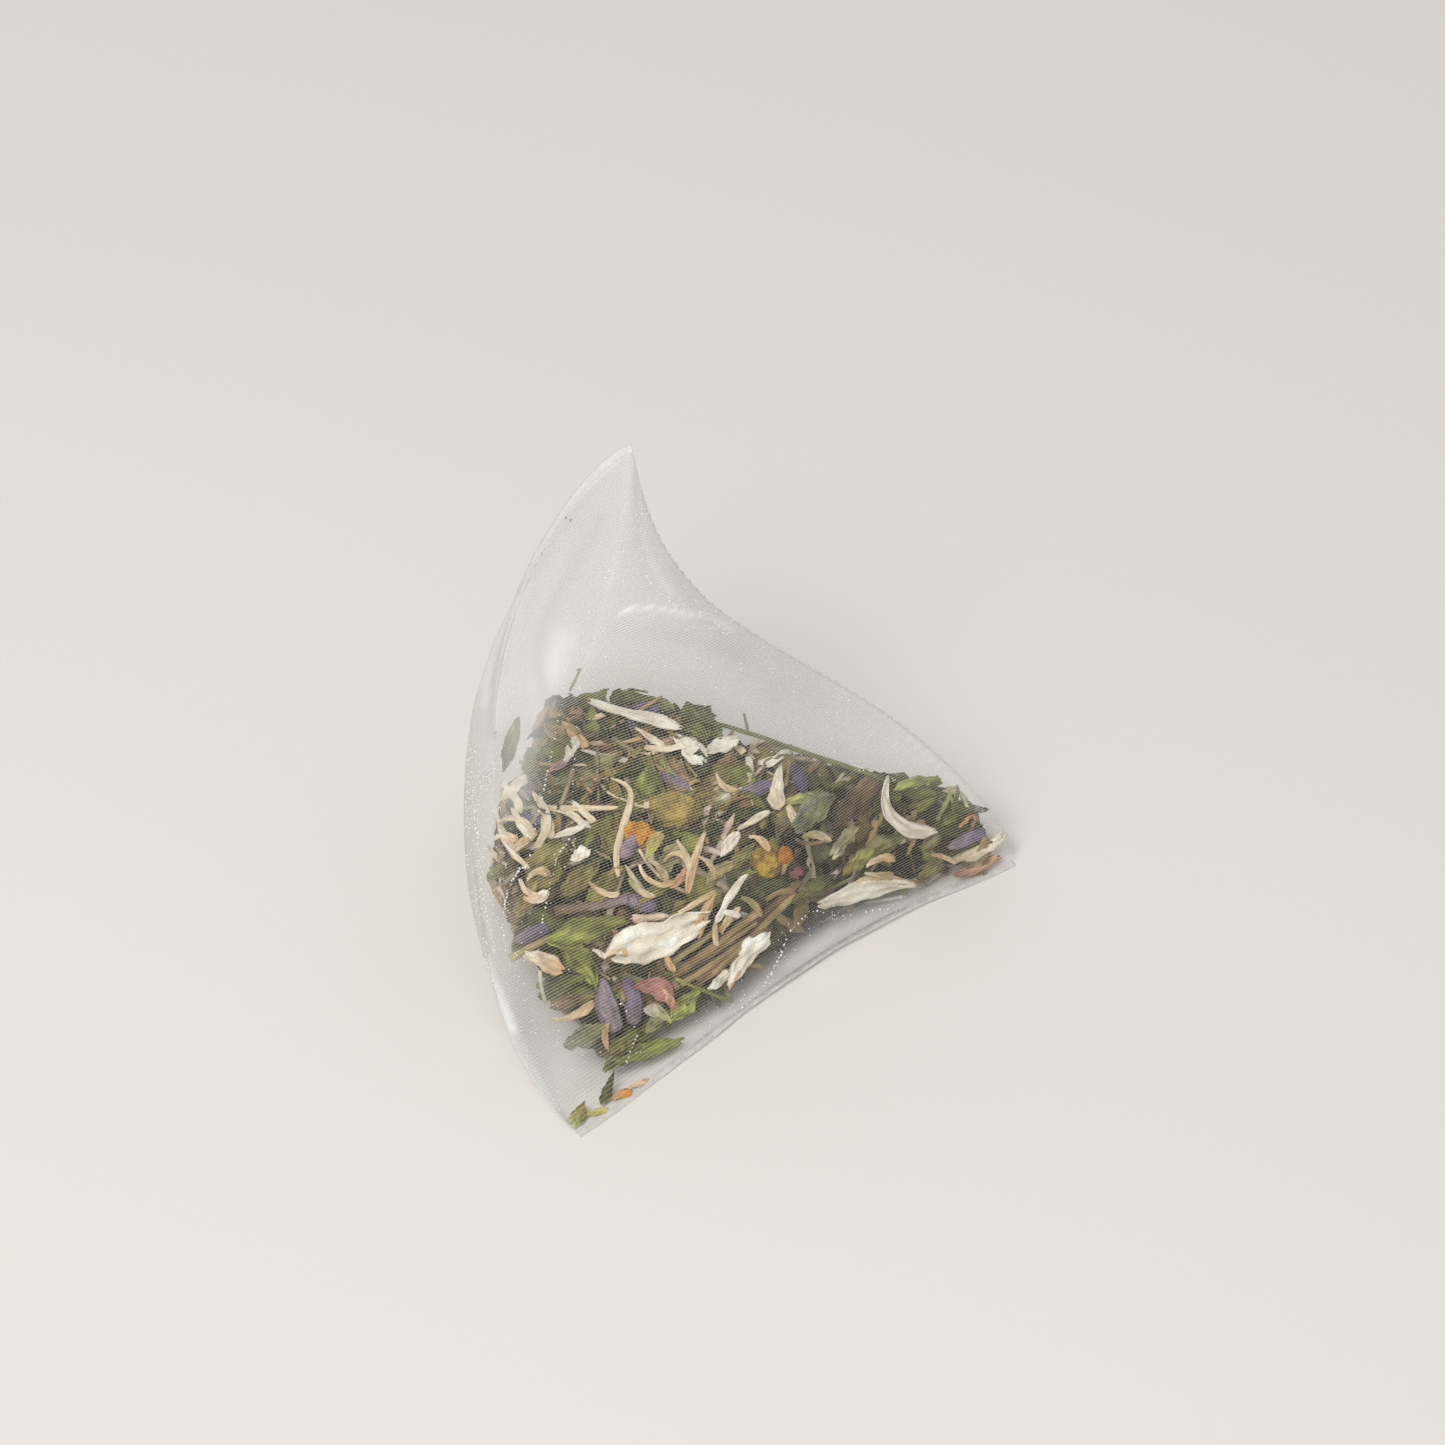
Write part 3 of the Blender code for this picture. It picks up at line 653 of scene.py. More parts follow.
def thread_material(name, colour, opacity):
    """Clear thread, slightly darker in patches."""
    finish = Finish(name, 0.28, Specular_IOR_Level=0.7, Alpha=opacity)
    patches = spread(finish.noise(0.004, 2.0), 0.3, 0.7)
    finish.set(Base_Color=finish.mix(patches, tuple(c * 0.93 for c in colour), tuple(colour)))
    return finish.material


# The veil's colour low and high up, in a painted highlight along folds and in painted shade
# along folds, and how much the highlight, the shade and the part without herbs add to its opacity
LOW_TONE = (0.98, 0.975, 0.97)
HIGH_TONE = (0.67, 0.665, 0.68)
HIGHLIGHT_TONE = (0.98, 0.98, 0.98)
FOLD_SHADE_TONE = (0.52, 0.51, 0.52)
TONE_HEIGHTS = (0.022, 0.042)
HIGHLIGHT_VEIL = 0.42
FOLD_SHADE_VEIL = 0.14
EMPTY_VEIL = 0.21


def haze_material(haze):
    """A thin veil: a painted highlight along some folds, painted shade along others, greyer high up.
    """
    finish = Finish("mesh_haze", 0.45, Specular_IOR_Level=0.4)
    patches = spread(finish.noise(0.006, 3.0), 0.3, 0.7)
    folds = finish.node("ShaderNodeAttribute", {"attribute_name": "tint"})
    parts = finish.node("ShaderNodeSeparateColor", _0=folds)
    # The tint's first channel paints a highlight along folds, where the cloth is also more opaque; its
    # second paints shade along folds; its third marks the part without herbs
    fold_highlight, fold_shade, empty = (Signal(finish.tree, parts.socket.node.outputs[n]) for n in range(3))
    streaks = finish.noise(0.003, 4.0) * 1.2 + 0.4
    height = finish.node("ShaderNodeSeparateXYZ", output=2, _0=finish.place())
    plain = finish.mix(spread(height, *TONE_HEIGHTS), LOW_TONE, HIGH_TONE)
    tone = finish.mix((fold_highlight * 1.2).clamped(), plain, HIGHLIGHT_TONE)
    finish.set(Base_Color=finish.mix(fold_shade * 0.6, tone, FOLD_SHADE_TONE),
               Alpha=(patches * haze + haze * 0.5 + fold_highlight * streaks * HIGHLIGHT_VEIL
                      + fold_shade * FOLD_SHADE_VEIL + empty * (patches * 0.06 + EMPTY_VEIL)).clamped())
    return finish.material


# The part of the photograph that the herb fills
HERB_OUTLINE = [
    (538, 712), (520, 756), (500, 790), (486, 880), (508, 925), (511, 955), (538, 992), (566, 1028),
    (598, 1064), (611, 1080), (640, 1078), (686, 1054), (708, 1022), (738, 1002), (786, 962),
    (803, 938), (842, 914), (915, 908), (962, 888), (1008, 870), (1017, 850), (992, 797),
    (937, 772), (842, 762), (747, 727), (707, 697), (662, 687), (640, 669), (565, 688), (545, 698)]

# The few herbs in the near corner
CORNER_OUTLINE = [(566, 1090), (570, 1136), (612, 1120), (656, 1086), (650, 1072), (618, 1064),
                  (598, 1072)]

# Folds of the cloth, painted as light: 0 for a painted highlight or 1 for painted shade, pixels
# along it, half width in pixels, strength
CREASES = (
    (0, ((622, 612), (648, 607), (683, 613), (711, 618), (730, 628)), 3.2, 1.0),
    (0, ((640, 520), (645, 545), (655, 570), (672, 592)), 5.0, 0.4),
    (0, ((484, 700), (490, 660), (500, 630), (516, 596)), 5.0, 0.8),
    (0, ((488, 962), (490, 975), (498, 995), (512, 1030)), 5.0, 0.8),
    (0, ((706, 1044), (763, 996), (798, 962), (846, 931), (906, 911)), 13.0, 1.0),
    (0, ((662, 1078), (684, 1062), (706, 1044)), 9.0, 0.9),
    (0, ((560, 640), (546, 690), (528, 742), (516, 800)), 19.0, 0.62),
    (0, ((648, 522), (668, 560), (700, 592), (740, 622), (800, 652), (860, 692), (930, 757),
         (984, 812)), 3.5, 0.8),
    (0, ((624, 452), (590, 484), (560, 518), (538, 556), (500, 624), (480, 686)), 3.0, 1.0),
    (1, ((600, 520), (583, 553), (566, 585), (554, 604), (542, 632), (538, 660), (545, 700)), 8.0,
     1.0),
    (1, ((620, 630), (660, 634), (700, 640), (740, 655)), 11.0, 1.0),
    (1, ((500, 660), (492, 700), (488, 740), (484, 780)), 6.0, 0.8),
)


def smooth_path(marks, count):
    """Marks joined by a Catmull-Rom curve, sampled evenly in its parameter."""
    marks = np.asarray(marks, dtype=float)
    padded = np.concatenate([[2 * marks[0] - marks[1]], marks, [2 * marks[-1] - marks[-2]]])
    at = np.linspace(0.0, len(marks) - 1.0, count)
    i = np.minimum(at.astype(int), len(marks) - 2)
    u = (at - i)[:, None]
    a, b, c, d = (padded[i + k] for k in range(4))
    return 0.5 * (2 * b + (c - a) * u + (2 * a - 5 * b + 4 * c - d) * u ** 2
                  + (3 * b - a - 3 * c + d) * u ** 3)


def distance_to_path(pixels, marks, count=60):
    """How far each pixel is from the nearest of many points of a path."""
    line = smooth_path(marks, count)
    squares = (pixels ** 2).sum(axis=1)[:, None] - 2 * pixels @ line.T + (line ** 2).sum(axis=1)
    return np.sqrt(np.maximum(squares.min(axis=1), 0.0))


class TEABAG_OT_cloth(bpy.types.Operator):
    """Weaves the mesh thread by thread over the bag's surface."""
    bl_idname = "teabag.cloth"
    bl_label = "Woven Mesh"

    def execute(self, context):
        sizes = context.scene.teabag_cloth
        rows, columns = THREADS_ALONG, THREADS_ROUND
        over = ((np.add.outer(np.arange(rows), np.arange(columns)) % 2) * 2 - 1)[..., None]
        threads = []
        for name, sign, side, turned, opacity in (
                ("mesh_threads_lengthwise", 1, SKIN.round, False, sizes.lengthwise_opacity),
                ("mesh_threads_round", -1, SKIN.length, True, sizes.round_opacity)):
            middle = SKIN.points + SKIN.normals * (sign * sizes.crimp) * over
            middle[..., 2] = np.maximum(middle[..., 2], THREAD_FLOOR)
            edges = np.stack([middle - side * sizes.thread_width / 2,
                              middle + side * sizes.thread_width / 2], axis=2)
            number = np.arange(rows * columns * 2).reshape(rows, columns, 2)
            if turned:
                after = np.roll(number, -1, axis=1)
                faces = np.stack([number[..., 0], after[..., 0], after[..., 1], number[..., 1]], -1)
            else:
                faces = np.stack([number[:-1, :, 0], number[:-1, :, 1],
                                  number[1:, :, 1], number[1:, :, 0]], -1)
            material = thread_material(name, sizes.thread_colour, opacity)
            item = mesh_piece(name, edges, faces.reshape(-1, 4), material)
            threads.append(finish_piece(item, "mesh_cloth"))
        self.haze(sizes, threads)
        return {"FINISHED"}

    def haze(self, sizes, threads):
        """The cloth as one thin sheet, on every second thread crossing."""
        grid = (SKIN.points - SKIN.normals * HAZE_DEPTH)[::2, ::2]
        grid[..., 2] = np.maximum(grid[..., 2], HAZE_FLOOR)
        rows, columns = grid.shape[:2]
        pixels = pixels_of(grid).reshape(-1, 2)
        shown = (SKIN.normals[::2, ::2] @ AHEAD).ravel() < 0
        folds = np.zeros((len(pixels), 3))
        # Painted light along the folds: a highlight weight in the tint's first channel, a shade weight
        # in its second
        for tone, marks, wide, strength in CREASES:
            fold = shown * strength * np.exp(-(distance_to_path(pixels, marks) / wide) ** 2)
            folds[:, tone] = np.maximum(folds[:, tone], fold)
        folds[:, 2] = 1.0
        for herbs, soft in ((HERB_OUTLINE, 9.0), (CORNER_OUTLINE, 4.0)):
            edge = distance_to_path(pixels, herbs + herbs[:1], 300)
            edge = np.where(in_outline(pixels, herbs), -edge, edge)
            folds[:, 2] *= 1.0 / (1.0 + np.exp(-edge / soft))
        item = mesh_piece("mesh_cloth", grid, grid_faces(rows, columns, True),
                          haze_material(sizes.haze), folds)
        finish_piece(item, "mesh_cloth", "mesh_bag")


def weld_material():
    """Cloth melted flat: clearer in patches, and finely uneven."""
    finish = Finish("melted_weld", 0.3, Specular_IOR_Level=0.6)
    patches = spread(finish.noise(0.0008, 3.0), 0.35, 0.65)
    finish.set(Base_Color=finish.mix(patches, (0.78, 0.76, 0.74), (0.90, 0.88, 0.86)),
               Alpha=patches * 0.25 + 0.25)
    finish.bump(finish.noise(0.0003, 2.0), 0.0001)
    return finish.material


def ball(tilt, sides):
    """Rings of a unit ball, one at each angle from its pole."""
    turns = np.linspace(0, 2 * np.pi, sides + 1)[:-1]
    return np.stack([np.outer(np.sin(tilt), np.cos(turns)), np.outer(np.sin(tilt), np.sin(turns)),
                     np.outer(np.cos(tilt), np.ones(sides))], axis=-1)


def beads(name, places, sizes, material):
    """Small round dots: rings of a half sine, scaled and set at each place."""
    rings, sides = 5, 6
    dot = ball(np.linspace(0, np.pi, rings), sides)
    points = places[:, None, None] + dot[None] * sizes[:, None, None, None]
    faces = repeated(grid_faces(rings, sides, True)[:, ::-1], len(places), rings * sides)
    return mesh_piece(name, points, faces, material)


def tube(line, radius, sides):
    """A ring of points round each point of a line, square to it."""
    ahead = unit(np.gradient(line, axis=0))
    level = unit(np.cross(ahead, [0.0, 0.0, 1.0]))
    rise = np.cross(level, ahead)
    turns = np.linspace(0, 2 * np.pi, sides + 1)[:-1]
    radius = np.broadcast_to(radius, len(line))[:, None, None]
    return line[:, None] + radius * (np.cos(turns)[None, :, None] * level[:, None]
                                     + np.sin(turns)[None, :, None] * rise[:, None])


# Lines of white dots, partly melted dots of the seam and partly painted glints of thread
# crossings along creases: pixels along the line, pixels between dots, size of the dots
DOTTED_LINES = (
    (((638, 510), (617, 551), (597, 600), (579, 632), (566, 663), (562, 700), (554, 744)), 5.2,
     0.55),
    (((552, 752), (544, 789), (536, 824), (528, 863), (519, 870), (508, 890), (503, 920),
      (505, 950)), 3.6, 0.85),
    (((630, 600), (612, 620), (599, 634), (591, 647), (583, 671), (577, 720), (573, 780)), 5.6, 0.5),
    (((573, 784), (570, 836), (560, 851), (554, 867), (546, 902), (540, 930)), 4.0, 0.75),
    (((620, 1003), (630, 1018), (636, 1035), (631, 1050), (624, 1066)), 4.5, 0.8),
    (((700, 1043), (728, 1020), (757, 993), (771, 972), (780, 956), (787, 938), (810, 912),
      (838, 915), (888, 908)), 4.5, 0.9),
    (((486, 960), (490, 972), (497, 990), (505, 1003)), 4.0, 0.9),
    (((474, 800), (478, 840), (482, 880), (488, 920), (496, 950)), 5.0, 0.8),
    (((640, 548), (644, 566), (652, 584), (668, 600), (692, 610), (716, 616)), 4.6, 0.6),
)

# Where the cloth glints: pixels along it, half width in pixels, share of the crossings
GLINT_PATHS = (
    (((482, 770), (484, 830), (494, 900), (506, 960), (530, 1020)), 20.0, 0.20),
    (((520, 930), (548, 1010), (580, 1070)), 26.0, 0.10),
    (((640, 520), (612, 570), (590, 630), (574, 690)), 14.0, 0.16),
    (((640, 606), (683, 613), (716, 624)), 16.0, 0.18),
    (((700, 640), (800, 680), (900, 760)), 40.0, 0.03),
    (((572, 840), (556, 880), (540, 940)), 12.0, 0.16),
    (((700, 1035), (760, 985), (800, 930), (900, 905)), 12.0, 0.14),
)


class TEABAG_OT_welds(bpy.types.Operator):
    """Builds the two flat end welds, their melted rims, and the dotted lines of melted dots and
    painted glints.
    """
    bl_idname = "teabag.welds"
    bl_label = "Welds and Seam"

    def execute(self, context):
        sizes = context.scene.teabag_cloth
        material = weld_material()
        front_out = direction(FRONT_WELD_HEADING - 90.0)
        top_out = 0.45 * direction(TOP_WELD_HEADING + 180.0, 90.0 - TOP_WELD_RISE)
        top_out = top_out + 0.9 * direction(FRONT_WELD_HEADING + 90.0)
        for name, curve, out in (("weld_front", front_weld, front_out),
                                 ("weld_top", top_weld, top_out)):
            self.weld(name, curve, out, material)
        self.seam(sizes)
        return {"FINISHED"}

    def weld(self, name, curve, out, material):
        """A strip carried along the weld, from just over the pocket to its free edge."""
        rows, columns, sides = 241, 9, 8
        line = curve(np.linspace(0.0, 1.0, rows))
        ahead = unit(np.gradient(line, axis=0))
        across = unit(out - ahead * (ahead @ out)[:, None])
        ripple = waves(line, 0.004, 21, 2) * 0.00006
        reach = VISIBLE_WELD + waves(line, 0.012, 23, 2) * 0.00008
        steps = np.linspace(-0.6, 1.0, columns)
        grid = line[:, None] + across[:, None] * (steps[None] * reach[:, None])[..., None]
        lift = np.cross(ahead, across) * np.sign(np.cross(ahead, across)[:, 2:])
        grid = grid + lift[:, None] * (ripple[:, None] * np.clip(steps, 0, 1)[None])[..., None]
        grid[..., 2] = np.maximum(grid[..., 2], WELD_FLOOR)
        strip = mesh_piece(name, grid, grid_faces(rows, columns), material)
        finish_piece(add_wall(strip, WELD_WALL), "mesh_cloth")
        rim = tube(grid[:, -1], WELD_WALL / 2 + 0.00002 * waves(line, 0.002, 31, 1), sides)
        rim[..., 2] = np.maximum(rim[..., 2], RIM_FLOOR)
        edge = mesh_piece(name + "_rim", rim, grid_faces(rows, sides, True)[:, ::-1], material)
        finish_piece(edge, "mesh_cloth")

    def seam(self, sizes):
        """The dotted lines on the cloth in front, uneven and with gaps, partly melted dots and partly
        painted glints, and the glints.
        """
        chance = np.random.default_rng(3)
        seats = Seats()
        places, radius = [], []
        for marks, gap, size in DOTTED_LINES:
            marks = np.array(marks, dtype=float)
            length = np.linalg.norm(np.diff(marks, axis=0), axis=1).sum()
            line = smooth_path(marks, int(length / gap))
            line = line + chance.normal(0.0, 0.5, line.shape)
            for pixel in line[chance.random(len(line)) > 0.22]:
                place, outward, _ = seats.on_cloth(pixel)
                places.append(place + outward * 0.00005)
                radius.append(sizes.bead_radius * size * chance.uniform(0.5, 1.2))
        glints = self.glints(chance)
        places = np.concatenate([np.array(places), glints])
        radius = np.concatenate([radius, sizes.bead_radius * chance.uniform(0.3, 0.6, len(glints))])
        places[:, 2] = np.maximum(places[:, 2], radius + RIM_FLOOR)
        # White beads: melted dots, and painted highlights where thread crossings glint
        finish = Finish("melted_dots_and_glints", 0.25, Specular_IOR_Level=0.8,
                        Base_Color=(0.98, 0.97, 0.95))
        finish_piece(beads("seam_dots_and_glints", places, radius, finish.material), "mesh_cloth")

    def glints(self, chance):
        """Thread crossings that catch the light: more of them where the cloth is turned to it."""
        pixels = pixels_of(SKIN.points)
        shown = SKIN.normals @ AHEAD < -0.15
        likely = np.zeros(shown.shape)
        for marks, wide, share in GLINT_PATHS:
            near = distance_to_path(pixels.reshape(-1, 2), marks).reshape(shown.shape)
            likely = np.maximum(likely, share * np.exp(-(near / wide) ** 2))
        likely *= shown * (0.4 + 0.8 * (waves(SKIN.points, 0.004, 51) > 0))
        chosen = chance.random(shown.shape) < likely
        return SKIN.points[chosen] + SKIN.normals[chosen] * 0.00004


# The record's material slot of each kind of piece, and the kinds that are thin sheets
HERB_SLOTS = {"leaf": "leaf", "petal": "petal", "stalk": "stalk", "bud": "lavender",
              "flower": "flower_head"}
FLAT_KINDS = ("leaf", "petal")
HERB_FINISHES = {}


def herb_finishes():
    """The dry plant finishes, made once."""
    if not HERB_FINISHES:
        HERB_FINISHES.update(
            leaf=dry_finish("dry_leaf", 0.75, 0.0013, 0.00030, 0.00045, 0.42),
            petal=dry_finish("dry_petal", 0.70, 0.0016, 0.00030, 0.00030, 0.76),
            stalk=dry_finish("dry_stalk", 0.70, 0.0014, 0.00022, 0.00030, 0.55),
            bud=dry_finish("dry_lavender", 0.85, 0.0008, 0.00020, 0.00030, 0.50),
            flower=dry_finish("dry_flower", 0.88, 0.0010, 0.00035, 0.00060, 0.55))
    return HERB_FINISHES


# Pieces that stand for CAD nodes. Each row: node, kind, the pixels along its
# middle, width in pixels, colour, colour at its far end, depth in mm
PIECES = (
    ("leaf_dark_left", "leaf", ((534, 894), (548, 868), (568, 844)), 34, OLIVE, GREEN, 0.9),
    ("leaf_blue_left", "leaf", ((556, 785), (588, 768), (622, 752)), 25, BLUE_GREEN, GREY_GREEN, 0.8),
    ("leaf_top_left", "leaf", ((572, 709), (590, 698), (607, 689)), 20, DARK_GREEN, GREEN, 0.6),
    ("leaf_bright", "leaf", ((628, 814), (640, 788), (650, 756)), 38, BRIGHT_GREEN, GREEN, 0.6),
    ("leaf_low_left", "leaf", ((550, 942), (588, 934), (628, 922)), 28, BRIGHT_GREEN, GREEN, 0.5),
    ("leaf_bottom", "leaf", ((612, 1062), (642, 1052), (682, 1040)), 26, GREEN, BRIGHT_GREEN, 0.5),
    ("leaf_olive", "leaf", ((686, 798), (708, 780), (738, 762)), 34, OLIVE, GREEN, 1.0),
    ("leaf_middle", "leaf", ((796, 904), (816, 892), (838, 880)), 24, GREEN, DARK_GREEN, 0.5),
    ("leaf_blue_right", "leaf", ((800, 830), (818, 814), (840, 798)), 34, BLUE_GREEN, GREY_GREEN, 0.6),
    ("leaf_brown", "leaf", ((838, 832), (862, 804), (888, 778)), 36, DARK_BROWN, BROWN, 0.9),
    ("leaf_serrated", "leaf", ((944, 824), (964, 812), (987, 809)), 26, GREEN, DARK_GREEN, 0.5),
    ("leaf_yellow_right", "leaf", ((896, 790), (916, 782), (937, 778)), 17, YELLOW_GREEN,
     BRIGHT_GREEN, 0.5),
    ("leaf_yellow_low", "leaf", ((676, 1020), (690, 1006), (706, 990)), 22, YELLOW_GREEN,
     BRIGHT_GREEN, 0.6),
    ("petal_wide", "petal", ((708, 920), (676, 932), (646, 944), (616, 957)), 46, WHITE, WHITE, 0.35),
    ("petal_low", "petal", ((732, 988), (743, 970), (757, 952), (771, 937)), 30, WHITE, WHITE, 0.4),
    ("petal_right", "petal", ((916, 888), (886, 890), (856, 895), (823, 905)), 25, WHITE, WHITE, 0.4),
    ("petal_c_shaped", "petal", ((889, 777), (886, 798), (893, 816), (911, 830), (937, 832)), 17,
     WHITE, WHITE, 0.2),
    ("petal_cluster", "petal", ((676, 738), (690, 748), (703, 762)), 24, WHITE, WHITE, 0.3),
    ("petal_left", "petal", ((527, 955), (544, 962), (564, 971)), 18, WHITE, PEACH, 0.4),
    ("petal_branching", "petal", ((706, 834), (696, 860), (689, 894)), 9, CREAM, PEACH, 0.4),
    ("petal_far_right", "petal", ((957, 858), (982, 851), (1004, 834)), 33, CREAM, WHITE, 0.5),
    ("petal_pink_left", "petal", ((637, 988), (656, 988), (674, 997)), 21, PINK, PINK, 0.5),
    ("petal_tangle", "petal", ((497, 818), (506, 838), (519, 860)), 9, WHITE, CREAM, 0.4),
    ("split_stalk_white", "petal", ((590, 700), (636, 714), (681, 727)), 16, WHITE, WHITE, 0.1),
    ("split_stalk_pale", "petal", ((781, 766), (776, 788), (779, 809)), 15, WHITE, CREAM, 0.5),
    ("stalk_flakes", "petal", ((723, 857), (731, 846), (740, 834)), 14, WHITE, WHITE, 0.4),
    ("lavender_bud_1", "bud", ((606, 981), (624, 1035)), 24, GREY_VIOLET, GREY_VIOLET, 0.5),
    ("lavender_bud_2", "bud", ((657, 766), (691, 794)), 17, VIOLET, GREY_VIOLET, 0.5),
    ("lavender_bud_3", "bud", ((736, 799), (772, 785)), 18, GREY_VIOLET, VIOLET, 0.5),
    ("lavender_bud_4", "bud", ((512, 944), (552, 929)), 15, GREY_VIOLET, VIOLET, 0.5),
    ("lavender_bud_5", "bud", ((628, 903), (660, 912)), 18, GREY_VIOLET, VIOLET, 0.5),
    ("lavender_bud_6", "bud", ((616, 699), (662, 711)), 13, GREY_VIOLET, VIOLET, 0.7),
    ("chamomile_head_left", "flower", ((676, 812),), 52, (0.50, 0.37, 0.085), OLIVE, 0.35),
    ("chamomile_head_right", "flower", ((778, 868),), 40, YELLOW, (0.30, 0.17, 0.03), 0.4),
    ("stem_green_long", "stalk", ((680, 718), (714, 724), (746, 732), (792, 748), (838, 764),
                                  (890, 779)), 5, DARK_GREEN, GREEN, 0.4),
    ("stem_grey_bundle", "stalk", ((676, 980), (714, 954), (764, 916)), 9, BROWN, TAN, 0.5),
    ("stem_cream_thin", "petal", ((613, 778), (625, 787), (634, 798), (626, 813), (620, 832),
                                  (619, 855), (617, 877)), 7, CREAM, CREAM, 0.3),
)

